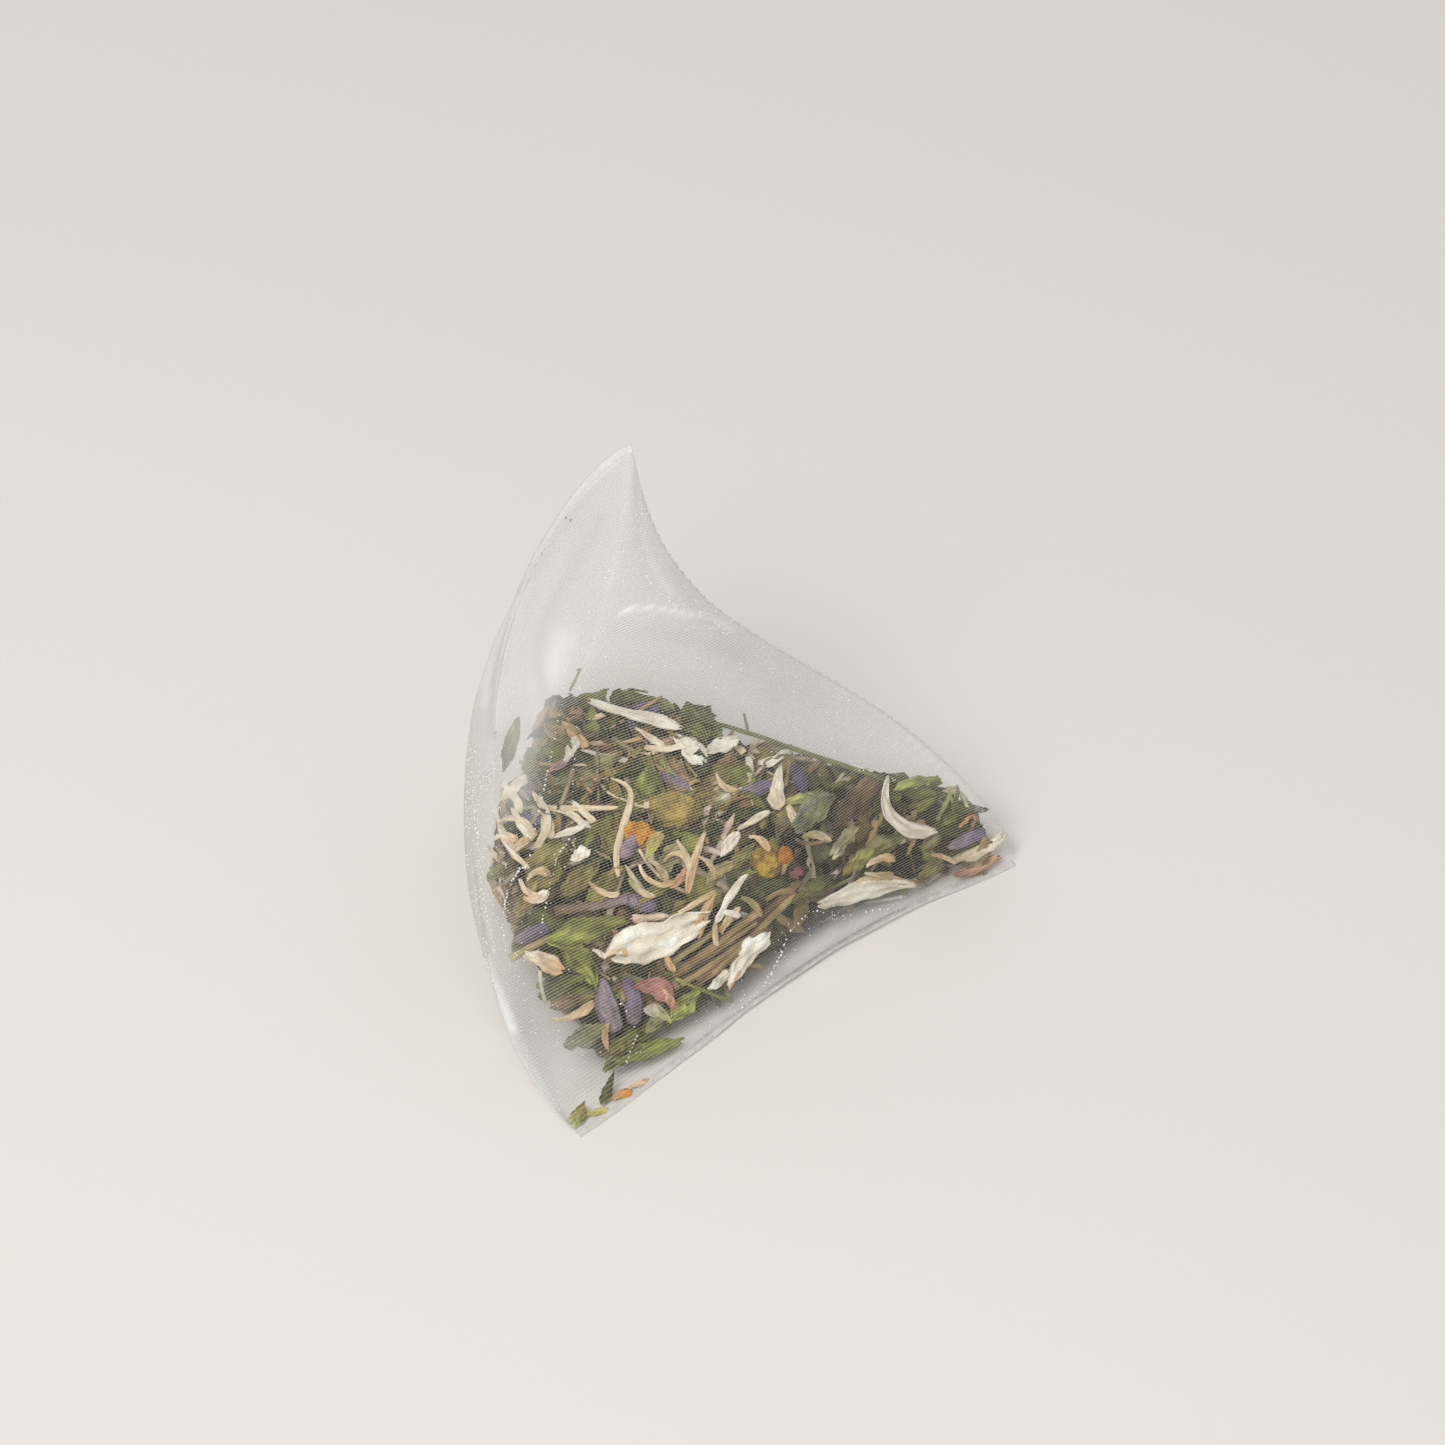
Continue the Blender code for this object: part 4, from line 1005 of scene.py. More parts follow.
# The other pieces that can be told apart in the photograph, without a node
LOOSE = (
    ("leaf", ((504, 770), (510, 745), (518, 718)), 14, GREEN, GREY_GREEN, 0.6),
    ("leaf", ((490, 880), (504, 862), (520, 842)), 20, GREY_GREEN, GREEN, 0.7),
    ("leaf", ((611, 704), (636, 690), (672, 708)), 30, DARK_GREEN, GREEN, 1.0),
    ("leaf", ((690, 700), (698, 718), (706, 740)), 34, DARK_GREEN, GREEN, 0.8),
    ("leaf", ((534, 758), (548, 738), (562, 714)), 22, GREEN, OLIVE, 0.8),
    ("leaf", ((596, 862), (606, 836), (619, 810)), 25, GREEN, OLIVE, 0.9),
    ("leaf", ((564, 896), (583, 880), (600, 862)), 21, OLIVE, GREEN, 0.7),
    ("leaf", ((588, 904), (606, 888), (624, 870)), 21, GREEN, OLIVE, 0.75),
    ("leaf", ((514, 918), (526, 906), (546, 900)), 16, OLIVE, BROWN, 0.8),
    ("leaf", ((566, 950), (586, 966), (599, 988)), 30, GREEN, BRIGHT_GREEN, 0.7),
    ("leaf", ((542, 998), (562, 988), (586, 980)), 20, DARK_GREEN, GREEN, 0.7),
    ("leaf", ((554, 1008), (576, 1002), (596, 998)), 13, BROWN, OLIVE, 0.8),
    ("leaf", ((568, 1046), (588, 1038), (609, 1028)), 24, GREEN, GREY_GREEN, 0.6),
    ("leaf", ((608, 1070), (622, 1052), (640, 1034)), 22, GREEN, GREEN, 0.6),
    ("leaf", ((646, 1011), (660, 1013), (673, 1023)), 12, WHITE, YELLOW_GREEN, 0.4),
    ("leaf", ((650, 1034), (662, 1022), (676, 1014)), 14, GREY_GREEN, BLUE_GREEN, 0.7),
    ("leaf", ((714, 804), (726, 796), (741, 788)), 11, GREY_GREEN, WHITE, 0.7),
    ("leaf", ((786, 803), (804, 796), (822, 791)), 12, YELLOW_GREEN, GREY_GREEN, 0.5),
    ("leaf", ((710, 888), (722, 876), (736, 865)), 17, GREY_GREEN, TAN, 0.6),
    ("leaf", ((735, 870), (745, 860), (757, 846)), 16, GREEN, GREEN, 0.6),
    ("leaf", ((756, 902), (772, 896), (792, 886)), 22, DARK_GREEN, DARK_GREEN, 0.9),
    ("leaf", ((660, 880), (672, 862), (682, 848)), 22, GREY_GREEN, GREY_GREEN, 0.9),
    ("leaf", ((640, 912), (656, 894), (676, 884)), 14, OLIVE, GREEN, 0.7),
    ("leaf", ((918, 812), (930, 803), (942, 794)), 17, GREEN, GREEN, 0.5),
    ("leaf", ((953, 814), (957, 800), (958, 786)), 8, GREEN, GREEN, 0.45),
    ("leaf", ((838, 858), (850, 842), (862, 828)), 24, (0.60, 0.58, 0.38), GREY_GREEN, 0.6),
    ("leaf", ((866, 866), (888, 852), (912, 836)), 27, GREY_GREEN, GREEN, 0.9),
    ("leaf", ((848, 876), (862, 864), (878, 852)), 20, OLIVE, YELLOW_GREEN, 0.6),
    ("leaf", ((922, 884), (934, 874), (948, 862)), 18, OLIVE, GREEN, 0.6),
    ("leaf", ((880, 812), (892, 800), (908, 796)), 18, DARK_GREEN, GREEN, 0.8),
    ("leaf", ((573, 1127), (579, 1116), (585, 1102)), 16, YELLOW_GREEN, OLIVE, 0.12),
    ("petal", ((706, 754), (720, 744), (738, 739)), 20, WHITE, WHITE, 0.3),
    ("petal", ((645, 747), (668, 748), (697, 742)), 11, CREAM, WHITE, 0.4),
    ("petal", ((545, 806), (573, 808), (617, 807)), 7, CREAM, CREAM, 0.4),
    ("petal", ((573, 802), (584, 812), (595, 824)), 9, WHITE, CREAM, 0.35),
    ("petal", ((550, 838), (570, 831), (589, 822)), 9, WHITE, WHITE, 0.35),
    ("petal", ((533, 792), (539, 802), (546, 816)), 8, CREAM, CREAM, 0.4),
    ("petal", ((541, 808), (548, 822), (552, 838)), 10, PEACH, CREAM, 0.4),
    ("petal", ((512, 808), (520, 822), (531, 838)), 8, CREAM, WHITE, 0.4),
    ("petal", ((513, 852), (524, 840), (537, 831)), 13, CREAM, PEACH, 0.45),
    ("petal", ((500, 800), (512, 789), (527, 776)), 12, CREAM, WHITE, 0.6),
    ("petal", ((502, 842), (514, 856), (528, 869)), 5, WHITE, CREAM, 0.3),
    ("petal", ((494, 806), (500, 824), (504, 842)), 6, WHITE, CREAM, 0.3),
    ("petal", ((572, 860), (581, 856), (590, 851)), 14, WHITE, WHITE, 0.4),
    ("petal", ((565, 761), (571, 749), (577, 737)), 11, WHITE, WHITE, 0.4),
    ("petal", ((523, 898), (536, 900), (549, 893)), 10, PEACH, WHITE, 0.4),
    ("petal", ((749, 876), (738, 888), (727, 906), (718, 924)), 10, WHITE, WHITE, 0.3),
    ("petal", ((722, 914), (732, 914), (741, 918)), 7, WHITE, WHITE, 0.3),
    ("petal", ((716, 896), (707, 916), (700, 940)), 13, PEACH, TAN, 0.5),
    ("petal", ((664, 954), (670, 962), (676, 973)), 7, PEACH, PEACH, 0.4),
    ("petal", ((718, 922), (717, 934), (720, 948)), 6, GREY_GREEN, CREAM, 0.5),
    ("petal", ((555, 1020), (572, 1018), (584, 1012), (595, 1003)), 9, CREAM, PEACH, 0.4),
    ("petal", ((563, 722), (575, 732), (586, 747)), 14, PEACH, PEACH, 0.5),
    ("petal", ((788, 805), (794, 816), (803, 829)), 11, CREAM, CREAM, 0.5),
    ("petal", ((738, 829), (752, 820), (769, 811)), 8, CREAM, WHITE, 0.4),
    ("petal", ((748, 756), (750, 768), (753, 782)), 9, WHITE, GREY_GREEN, 0.6),
    ("petal", ((678, 842), (688, 858), (692, 872)), 7, CREAM, PEACH, 0.4),
    ("petal", ((680, 915), (697, 905), (717, 893)), 7, CREAM, TAN, 0.45),
    ("petal", ((672, 890), (684, 880), (696, 868)), 12, PEACH, PINK, 0.6),
    ("petal", ((712, 992), (722, 984), (731, 974)), 14, WHITE, WHITE, 0.5),
    ("petal", ((730, 990), (735, 981), (741, 972)), 8, PEACH, PEACH, 0.4),
    ("petal", ((868, 875), (894, 880), (921, 889)), 8, CREAM, TAN, 0.45),
    ("petal", ((934, 856), (946, 859), (960, 864)), 6, PEACH, CREAM, 0.4),
    ("petal", ((960, 827), (967, 820), (974, 813)), 9, PEACH, ORANGE, 0.4),
    ("petal", ((957, 876), (978, 869), (999, 858)), 27, PINK, PEACH, 0.5),
    ("petal", ((613, 1098), (622, 1094), (632, 1091)), 12, PEACH, ORANGE, 0.12),
    ("petal", ((630, 1087), (640, 1083), (649, 1079)), 8, CREAM, PEACH, 0.12),
    ("petal", ((586, 1114), (596, 1111), (608, 1109)), 9, YELLOW_GREEN, (0.62, 0.50, 0.18), 0.12),
    ("petal", ((594, 951), (601, 954), (607, 959)), 5, WHITE, WHITE, 0.4),
    ("petal", ((647, 858), (654, 846), (662, 833)), 13, YELLOW_GREEN, (0.62, 0.50, 0.18), 0.3),
    ("petal", ((610, 1050), (607, 1036), (611, 1024)), 7, PEACH, TAN, 0.5),
    ("petal", ((547, 772), (558, 766), (569, 757)), 9, PINK, GREY_VIOLET, 0.7),
    ("petal", ((620, 944), (617, 934), (612, 924)), 5, BROWN, PINK, 0.7),
    ("petal", ((540, 798), (548, 818), (543, 836), (536, 848)), 8, WHITE, CREAM, 0.35),
    ("petal", ((546, 809), (566, 812), (577, 818), (590, 827)), 9, CREAM, WHITE, 0.35),
    ("petal", ((498, 824), (510, 818), (524, 822), (534, 834)), 8, CREAM, CREAM, 0.4),
    ("petal", ((494, 838), (506, 834), (516, 842)), 10, WHITE, PEACH, 0.4),
    ("petal", ((488, 846), (503, 862), (518, 872)), 7, CREAM, WHITE, 0.35),
    ("petal", ((502, 782), (514, 796), (520, 812)), 9, WHITE, CREAM, 0.5),
    ("petal", ((671, 734), (684, 738), (697, 745)), 13, WHITE, WHITE, 0.5),
    ("petal", ((636, 728), (652, 738), (664, 744)), 9, CREAM, WHITE, 0.5),
    ("petal", ((664, 862), (676, 854), (686, 858), (690, 872)), 6, TAN, CREAM, 0.35),
    ("petal", ((640, 866), (648, 880), (662, 886), (676, 882)), 6, CREAM, TAN, 0.35),
    ("petal", ((630, 880), (640, 892), (655, 898)), 7, GREY_GREEN, CREAM, 0.4),
    ("petal", ((650, 862), (662, 870), (668, 884)), 8, (0.60, 0.58, 0.38), TAN, 0.45),
    ("petal", ((700, 858), (712, 866), (716, 880)), 6, CREAM, TAN, 0.4),
    ("petal", ((724, 936), (730, 922), (742, 910)), 9, TAN, CREAM, 0.5),
    ("petal", ((744, 900), (756, 906), (764, 918)), 8, GREY_GREEN, TAN, 0.5),
    ("petal", ((770, 902), (784, 894), (798, 892)), 8, TAN, BROWN, 0.5),
    ("petal", ((806, 838), (820, 836), (834, 842)), 8, GREY_GREEN, CREAM, 0.5),
    ("petal", ((870, 868), (884, 860), (898, 862)), 9, CREAM, PEACH, 0.5),
    ("petal", ((850, 890), (872, 880), (896, 876)), 8, CREAM, TAN, 0.45),
    ("petal", ((606, 958), (618, 952), (628, 956)), 9, CREAM, TAN, 0.5),
    ("petal", ((664, 992), (672, 1000), (676, 1010)), 9, PEACH, PINK, 0.45),
    ("petal", ((528, 880), (540, 872), (552, 876)), 8, CREAM, TAN, 0.5),
    ("petal", ((590, 884), (604, 894), (620, 896)), 6, TAN, CREAM, 0.45),
    ("petal", ((520, 880), (528, 892), (542, 898)), 7, WHITE, PEACH, 0.45),
    ("petal", ((716, 774), (724, 786), (738, 790)), 8, CREAM, TAN, 0.5),
    ("petal", ((752, 838), (764, 842), (772, 852)), 7, CREAM, PEACH, 0.45),
    ("stalk", ((700, 984), (748, 948), (800, 896)), 7, BROWN, TAN, 0.6),
    ("stalk", ((716, 976), (760, 938), (796, 902)), 6, TAN, GREY_GREEN, 0.5),
    ("stalk", ((724, 958), (764, 924), (806, 886)), 7, DARK_BROWN, BROWN, 0.7),
    ("stalk", ((570, 690), (578, 674), (587, 655)), 3, OLIVE, YELLOW_GREEN, 0.4),
    ("stalk", ((651, 682), (644, 675), (637, 667)), 4, YELLOW_GREEN, GREEN, 0.4),
    ("stalk", ((748, 732), (746, 722), (744, 714)), 3, GREEN, GREEN, 0.4),
    ("stalk", ((512, 960), (530, 951), (553, 940)), 8, GREY_GREEN, TAN, 0.6),
    ("leaf", ((602, 1104), (608, 1090), (614, 1072)), 11, GREEN, DARK_GREEN, 0.15),
    ("stalk", ((558, 914), (594, 909), (630, 903)), 11, BROWN, GREY_VIOLET, 0.6),
    ("stalk", ((684, 988), (722, 963), (768, 932)), 7, TAN, BROWN, 0.5),
    ("stalk", ((668, 970), (700, 950), (742, 918)), 7, GREY_GREEN, TAN, 0.6),
    ("stalk", ((700, 990), (730, 968), (766, 940)), 6, BROWN, TAN, 0.6),
    ("stalk", ((694, 974), (726, 950), (760, 926)), 5, DARK_BROWN, TAN, 0.45),
    ("stalk", ((678, 981), (704, 992), (735, 1004)), 4, YELLOW_GREEN, GREEN, 0.35),
    ("stalk", ((938, 820), (945, 806), (952, 792)), 6, GREY_GREEN, YELLOW_GREEN, 0.4),
    ("stalk", ((640, 852), (662, 880), (690, 896)), 4, CREAM, TAN, 0.5),
    ("stalk", ((548, 1004), (544, 990), (542, 972)), 4, GREY_GREEN, WHITE, 0.4),
    ("stalk", ((800, 842), (818, 846), (836, 838)), 4, BROWN, TAN, 0.45),
    ("bud", ((631, 977), (641, 1028)), 19, VIOLET, GREY_VIOLET, 0.5),
    ("bud", ((948, 848), (987, 832)), 17, GREY_VIOLET, VIOLET, 0.2),
    ("bud", ((930, 853), (947, 838)), 13, GREY_GREEN, GREY_GREEN, 0.6),
    ("bud", ((804, 815), (821, 800)), 8, VIOLET, GREY_VIOLET, 0.35),
    ("bud", ((526, 790), (548, 800)), 10, GREY_VIOLET, VIOLET, 0.6),
    ("flower", ((640, 836),), 38, (0.85, 0.42, 0.03), (0.62, 0.22, 0.02), 0.3),
    ("flower", ((792, 860),), 20, (0.55, 0.24, 0.03), ORANGE, 0.35),
)


def seated_line(seats, marks, depth, lift, count):
    """A line on the seat of each mark, evened out so that it has no kinks."""
    line, normals = seats.path(smooth_path(marks, count), depth, lift)
    share = np.linspace(-1.0, 1.0, count)
    for field in (line, normals):
        for axis in range(3):
            field[:, axis] = np.polyval(np.polyfit(share, field[:, axis], 3), share)
    return line, unit(normals)


def outline(kind, share, chance):
    """Half widths of a blade on its two sides.

    A leaf is widest near its middle and toothed. A petal widens from a narrow
    foot to a blunt, notched end. Slow sines make both uneven.
    """
    if kind == "leaf":
        profile = 0.16 + 0.84 * np.sin(np.pi * share ** 0.85) ** 0.8
        rough, teeth, count = 0.20, 0.22, 9
    else:
        profile = np.interp(share, (0, 0.12, 0.45, 0.75, 0.92, 1.0),
                            (0.30, 0.52, 0.92, 1.0, 0.8, 0.35))
        rough, teeth, count = 0.17, 0.05, 6
    sides = []
    for _ in range(2):
        phase = chance.uniform(0, 6.28, 4)
        wobble = sum(np.sin(share * 6.28 * (k + 0.7) + phase[k]) / (k + 1) for k in range(4))
        tooth = (share * count + phase[0]) % 1.0
        sides.append(profile * np.clip(1 + rough * wobble + teeth * (tooth - 0.5), 0.3, 1.4))
    return sides


def blade_grid(kind, line, normals, width, chance):
    """A blade carried along a line, and the painted light and shade of each of its points.

    Across it, a point lies at the half width times c, with c from -1 to 1. It
    drops by cup times c squared, ripples by sines that travel along it, and
    has a few pleats that run lengthwise. Valleys get painted shade and ridges a
    painted highlight; a leaf's midrib is paler in its own colour.
    """
    count, columns = len(line), 13
    share = np.linspace(0.0, 1.0, count)
    ahead = unit(np.gradient(line, axis=0))
    side = unit(np.cross(normals, ahead))
    right, left = outline(kind, share, chance)
    c = np.linspace(-1.0, 1.0, columns)[None]
    half = np.where(c < 0, left[:, None], right[:, None]) * width / 2
    cup = chance.uniform(0.05, 0.28) * width / 2
    phase = chance.uniform(0, 6.28, 3)
    ripple = (np.sin(share[:, None] * chance.uniform(5, 11) + c * chance.uniform(1, 4) + phase[0])
              + 0.5 * np.sin(share[:, None] * 17 - c * 5 + phase[1])) * 0.055
    pleats = np.sin(c * chance.uniform(7, 12) + share[:, None] * 3 + phase[2]) * 0.040
    drop = -cup * c ** 2 + (ripple + pleats) * width
    # Painted shade in the valleys of the ripples and pleats and a painted highlight on their ridges;
    # the midrib below is the leaf's own paler colour
    light = 1.0 + (4.0 if kind == "leaf" else 2.6) * (ripple + pleats)
    light = light + (kind == "leaf") * 0.45 * np.exp(-(c / 0.1) ** 2)
    ragged = np.where(share < 0.5, -1.0, 1.0)[:, None] * np.abs(2 * share - 1)[:, None] ** 6
    ends = (np.sin(c * 4 + phase[0]) + 0.6 * np.sin(c * 9 + phase[1])) * width * 0.10 * ragged
    grid = (line[:, None] + side[:, None] * (c * half)[..., None]
            + ahead[:, None] * ends[..., None] + normals[:, None] * drop[..., None])
    return grid, light.reshape(-1, 1)


def blended_tint(count, columns, first, last, chance):
    """A colour for each point of a grid, from one end's colour to the other's."""
    share = np.linspace(0.0, 1.0, count)[:, None, None]
    colour = (1 - share) * np.array(first) + share * np.array(last)
    return np.broadcast_to(colour * chance.uniform(0.9, 1.1), (count, columns, 3)).reshape(-1, 3)


def bud_grid(start, end, normal, width, chance):
    """A ribbed calyx: a profile turned about its axis, with eight ribs.

    The radius swells to the middle and narrows to a blunt, dented mouth.
    """
    axis = end - start
    share = np.linspace(0.0, 1.0, 16)
    profile = np.interp(share, (0, 0.04, 0.2, 0.5, 0.8, 0.92, 1.0),
                        (0.1, 0.35, 0.7, 1, 0.85, 0.8, 0.45))
    turns = np.linspace(0, 2 * np.pi, 33)[:-1]
    ribs = 1 + 0.10 * np.cos(turns * 8)[None] * np.sin(np.pi * share)[:, None] ** 0.5
    radius = profile[:, None] * ribs * width / 2
    ahead = unit(axis)
    side = unit(np.cross(normal, ahead))
    rise = np.cross(ahead, side)
    bend = np.sin(np.pi * share) * width * chance.uniform(-0.12, 0.12)
    line = start + share[:, None] * axis + bend[:, None] * side
    grid = (line[:, None] + (radius * np.cos(turns))[..., None] * side
            + (radius * np.sin(turns))[..., None] * rise)
    grid[-1] -= ahead * 0.02 * np.linalg.norm(axis)
    return grid


def closed_tube(grid):
    """Points and triangles of a tube of rings, with its two ends closed by a point each."""
    rows, columns = grid.shape[:2]
    points = np.concatenate([grid.reshape(-1, 3), grid[:1].mean(axis=1), grid[-1:].mean(axis=1)])
    sides = grid_faces(rows, columns, True)
    first, second = np.arange(columns), (np.arange(columns) + 1) % columns
    start, end = rows * columns, rows * columns + 1
    low = np.stack([np.full(columns, start), second, first], -1)
    high = (rows - 1) * columns + np.stack([first, second], -1)
    high = np.concatenate([high, np.full((columns, 1), end)], axis=1)
    split = np.concatenate([sides[:, [0, 1, 2]], sides[:, [0, 2, 3]]])
    return points, np.concatenate([split, low, high])


def flower_grid(place, normal, width, chance):
    """A dome of florets, and how much of its first colour each point has.

    A half ellipsoid, swollen and sunk by noise, that bulges at a spiral of dots.
    """
    side = unit(np.cross(normal, [0.3, 0.8, 0.1]))
    rise = np.cross(normal, side)
    dome = ball(np.linspace(0.05, np.pi / 2 + 0.5, 24), 48)
    florets, golden_turn = 90, 2.39996
    k = np.arange(1, florets)
    high, spin = np.arccos(1 - k / florets), k * golden_turn
    dots = np.stack([np.sin(high) * np.cos(spin), np.sin(high) * np.sin(spin), np.cos(high)], -1)
    near = (dome @ dots.T).max(axis=-1)
    seed = int(chance.integers(1, 1000))
    lumps = 0.16 * np.clip((near - 0.985) / 0.015, 0, 1) + 0.17 * waves(dome, 1.7, seed)
    lumps = lumps + 0.07 * waves(dome, 0.45, seed + 1)
    radius = (0.95 + lumps)[..., None] * width / 2
    shaped = dome * radius * np.array([1.0, 0.82, 0.62])
    patches = np.clip(0.5 + 0.9 * waves(dome, 0.8, seed + 2) + 0.5 * lumps, 0.0, 1.0)
    grid = place + shaped[..., :1] * side + shaped[..., 1:2] * rise + shaped[..., 2:] * normal
    return grid, patches.reshape(-1, 1)


class Herbs:
    """Gathers the points and faces of many small pieces, a kind at a time."""

    def __init__(self):
        self.sets = {}

    def add(self, kind, points, faces, tint):
        """Keeps pieces for their kind's mesh, their faces numbered on."""
        points = np.asarray(points).reshape(-1, 3)
        tint = np.broadcast_to(tint, points.shape)
        rows = self.sets.setdefault(kind, [[], [], [], 0])
        rows[0].append(points)
        rows[1].append(np.asarray(faces) + rows[3])
        rows[2].append(tint)
        rows[3] += len(points)

    def build(self, prefix, wall=None):
        """One mesh for each kind, leaves and petals with a wall where one is given."""
        for kind in sorted(self.sets):
            points, faces, tint, _ = self.sets[kind]
            item = mesh_piece(prefix + kind, np.concatenate(points), np.concatenate(faces),
                              herb_finishes()[kind], np.concatenate(tint))
            if wall and kind in FLAT_KINDS:
                add_wall(item, wall)
            finish_piece(item, HERB_SLOTS[kind])


def piece_arrays(seats, kind, marks, width, first, last, depth, chance):
    """Points, faces and tint of one piece that shows in the photograph."""
    width, depth = width * PIXEL, depth * 0.001
    lift = HIGHEST_LIFT - 1.4 * depth
    if kind in FLAT_KINDS:
        line, normals = seated_line(seats, marks, depth, lift, 25)
        grid, light = blade_grid(kind, line, normals, width, chance)
        # The blade's colours times its painted shade and highlight along the folds
        tint = np.minimum(blended_tint(*grid.shape[:2], first, last, chance) * light, 1.0)
        return tucked(grid.reshape(-1, 3), PIECE_CLEAR), grid_faces(*grid.shape[:2]), tint
    if kind == "flower":
        place, normal = seats.path(np.array(marks), depth + width * 0.45, width * 0.3)
        grid, patches = flower_grid(place[0], normal[0], width, chance)
        tint = patches * np.array(first) + (1.0 - patches) * np.array(last)
    else:
        if kind == "bud":
            line, normals = seated_line(seats, marks, depth + width / 2, width * 0.45, 6)
            grid = bud_grid(line[0], line[-1], normals[2], width, chance)
        else:
            line, normals = seated_line(seats, marks, depth + width / 2, lift, 22)
            line = line + normals * (waves(line, 0.004, int(width * 1e6), 1) * width * 0.2)[:, None]
            grid = tube(line, width / 2 * (1 + 0.15 * waves(line, 0.002, 5, 2)), 10)[:, ::-1]
        tint = blended_tint(*grid.shape[:2], first, last, chance)
    points, faces = closed_tube(grid)
    return tucked(points, PIECE_CLEAR), faces, np.concatenate([tint, [first], [last]])


class TEABAG_OT_shown_herbs(bpy.types.Operator):
    """Places the pieces of herb that can be told apart in the photograph."""
    bl_idname = "teabag.shown_herbs"
    bl_label = "Herbs That Show"

    def execute(self, context):
        seats = Seats()
        for number, (name, kind, marks, width, first, last, depth) in enumerate(PIECES):
            chance = np.random.default_rng(100 + number)
            points, faces, tint = piece_arrays(seats, kind, marks, width, first, last, depth, chance)
            item = mesh_piece(name + "_shown", points, faces, herb_finishes()[kind], tint)
            if kind in FLAT_KINDS:
                add_wall(item, HERB_WALL)
            finish_piece(item, HERB_SLOTS[kind], name)
        herbs = Herbs()
        for number, row in enumerate(LOOSE):
            herbs.add(row[0], *piece_arrays(seats, *row, np.random.default_rng(300 + number)))
        herbs.build("loose_", HERB_WALL)
        return {"FINISHED"}


# Loose herb: kind, share of the pieces, length and width in mm, colours
MIXTURE = (
    ("leaf", 0.42, (2.0, 5.2), (1.0, 2.8), (GREEN, DARK_GREEN, OLIVE, TAN, DARK_GREEN, BROWN)),
    ("leaf", 0.13, (2.0, 5.0), (1.0, 2.4), (GREY_GREEN, GREEN, BRIGHT_GREEN, OLIVE)),
    ("petal", 0.25, (2.4, 6.5), (0.45, 1.4), (CREAM, WHITE, TAN, TAN, CREAM)),
    ("stalk", 0.18, (2.5, 7.0), (0.28, 0.6), (TAN, BROWN, GREY_GREEN, TAN, CREAM)),
    ("bud", 0.012, (3.6, 5.6), (1.3, 1.8), (VIOLET, GREY_VIOLET, GREY_VIOLET)),
    ("petal", 0.04, (1.0, 2.2), (0.6, 1.4), (PEACH, OLIVE, PINK)),
)

FLAKE_GRID = (8, 5)
ROD_GRID = (6, 8)


def flake_shape(count, chance):
    """Many flakes at once on an 8 by 5 grid, each with its own ragged outline.

    Returns x and y in shares of the length and width, and a height in shares of
    the width: a cup, a curl and a ripple.
    """
    share = np.linspace(0.0, 1.0, FLAKE_GRID[0])[None, :, None]
    c = np.linspace(-1.0, 1.0, FLAKE_GRID[1])[None, None, :]

    def dice(low, high):
        """A number for each flake."""
        return chance.uniform(low, high, (count, 1, 1))
    profile = 0.35 + 0.65 * np.sin(np.pi * share ** dice(0.7, 1.4)) ** 0.6
    ragged = 1 + 0.22 * np.sin(share * dice(6, 15) + dice(0, 6) + (c > 0) * dice(1, 4))
    x = (share - 0.5) + 0.06 * np.sin(c * dice(1, 3) + dice(0, 6))
    y = c * 0.5 * profile * ragged + dice(-0.5, 0.5) * (share - 0.5) ** 2
    z = (dice(-0.35, 0.35) * c ** 2 + dice(-0.4, 0.4) * (2 * share - 1) ** 2
         + 0.10 * np.sin(share * dice(6, 12) + c * dice(1, 4) + dice(0, 6))
         + 0.07 * np.sin(share * dice(12, 22) - c * dice(2, 7) + dice(0, 6)))
    return x + 0 * c, y, z


def rod_shape(count, chance, ribs):
    """Many rods at once, six rings of eight points, slightly bent and tapered."""
    share = np.linspace(0.0, 1.0, ROD_GRID[0])[None, :, None]
    turn = np.linspace(0, 2 * np.pi, ROD_GRID[1] + 1)[:-1][None, None, :]

    def dice(low, high):
        """A number for each rod."""
        return chance.uniform(low, high, (count, 1, 1))
    if ribs:
        profile = np.interp(share, (0, 0.1, 0.5, 0.85, 1.0), (0.3, 0.65, 1.0, 0.9, 0.5))
    else:
        profile = 1.0 - 0.25 * share * dice(0, 1) + 0.1 * np.sin(share * dice(5, 12))
    radius = 0.5 * profile * (1 + 0.08 * np.cos(turn * 4))
    bend = dice(-0.5, 0.5) * (share - 0.5) ** 2
    x = (share - 0.5) + 0 * turn
    return x, radius * np.cos(turn) + bend, radius * np.sin(turn) + 0.5


def rod_faces():
    """Faces of a rod, its sides and its flat ends, all with four corners."""
    rings, sides = ROD_GRID
    end = np.array([[0, 1, 2, 3], [0, 3, 4, 5], [0, 5, 6, 7]])
    low = end[:, [0, 3, 2, 1]]
    return np.concatenate([grid_faces(rings, sides, True), low, (rings - 1) * sides + end])


def heap_top(points):
    """Height of the heap's sloping top over each point: a plane through the corners."""
    left = LEFT + [0.0, 0.0, HEAP_TOP_LEFT]
    right = RIGHT + [0.0, 0.0, HEAP_TOP_RIGHT]
    near = NEAR + [0.0, 0.0, HEAP_TOP_LEFT]
    slope = np.cross(right - near, left - near)
    return near[2] - ((points[..., :2] - near[:2]) @ slope[:2]) / slope[2]


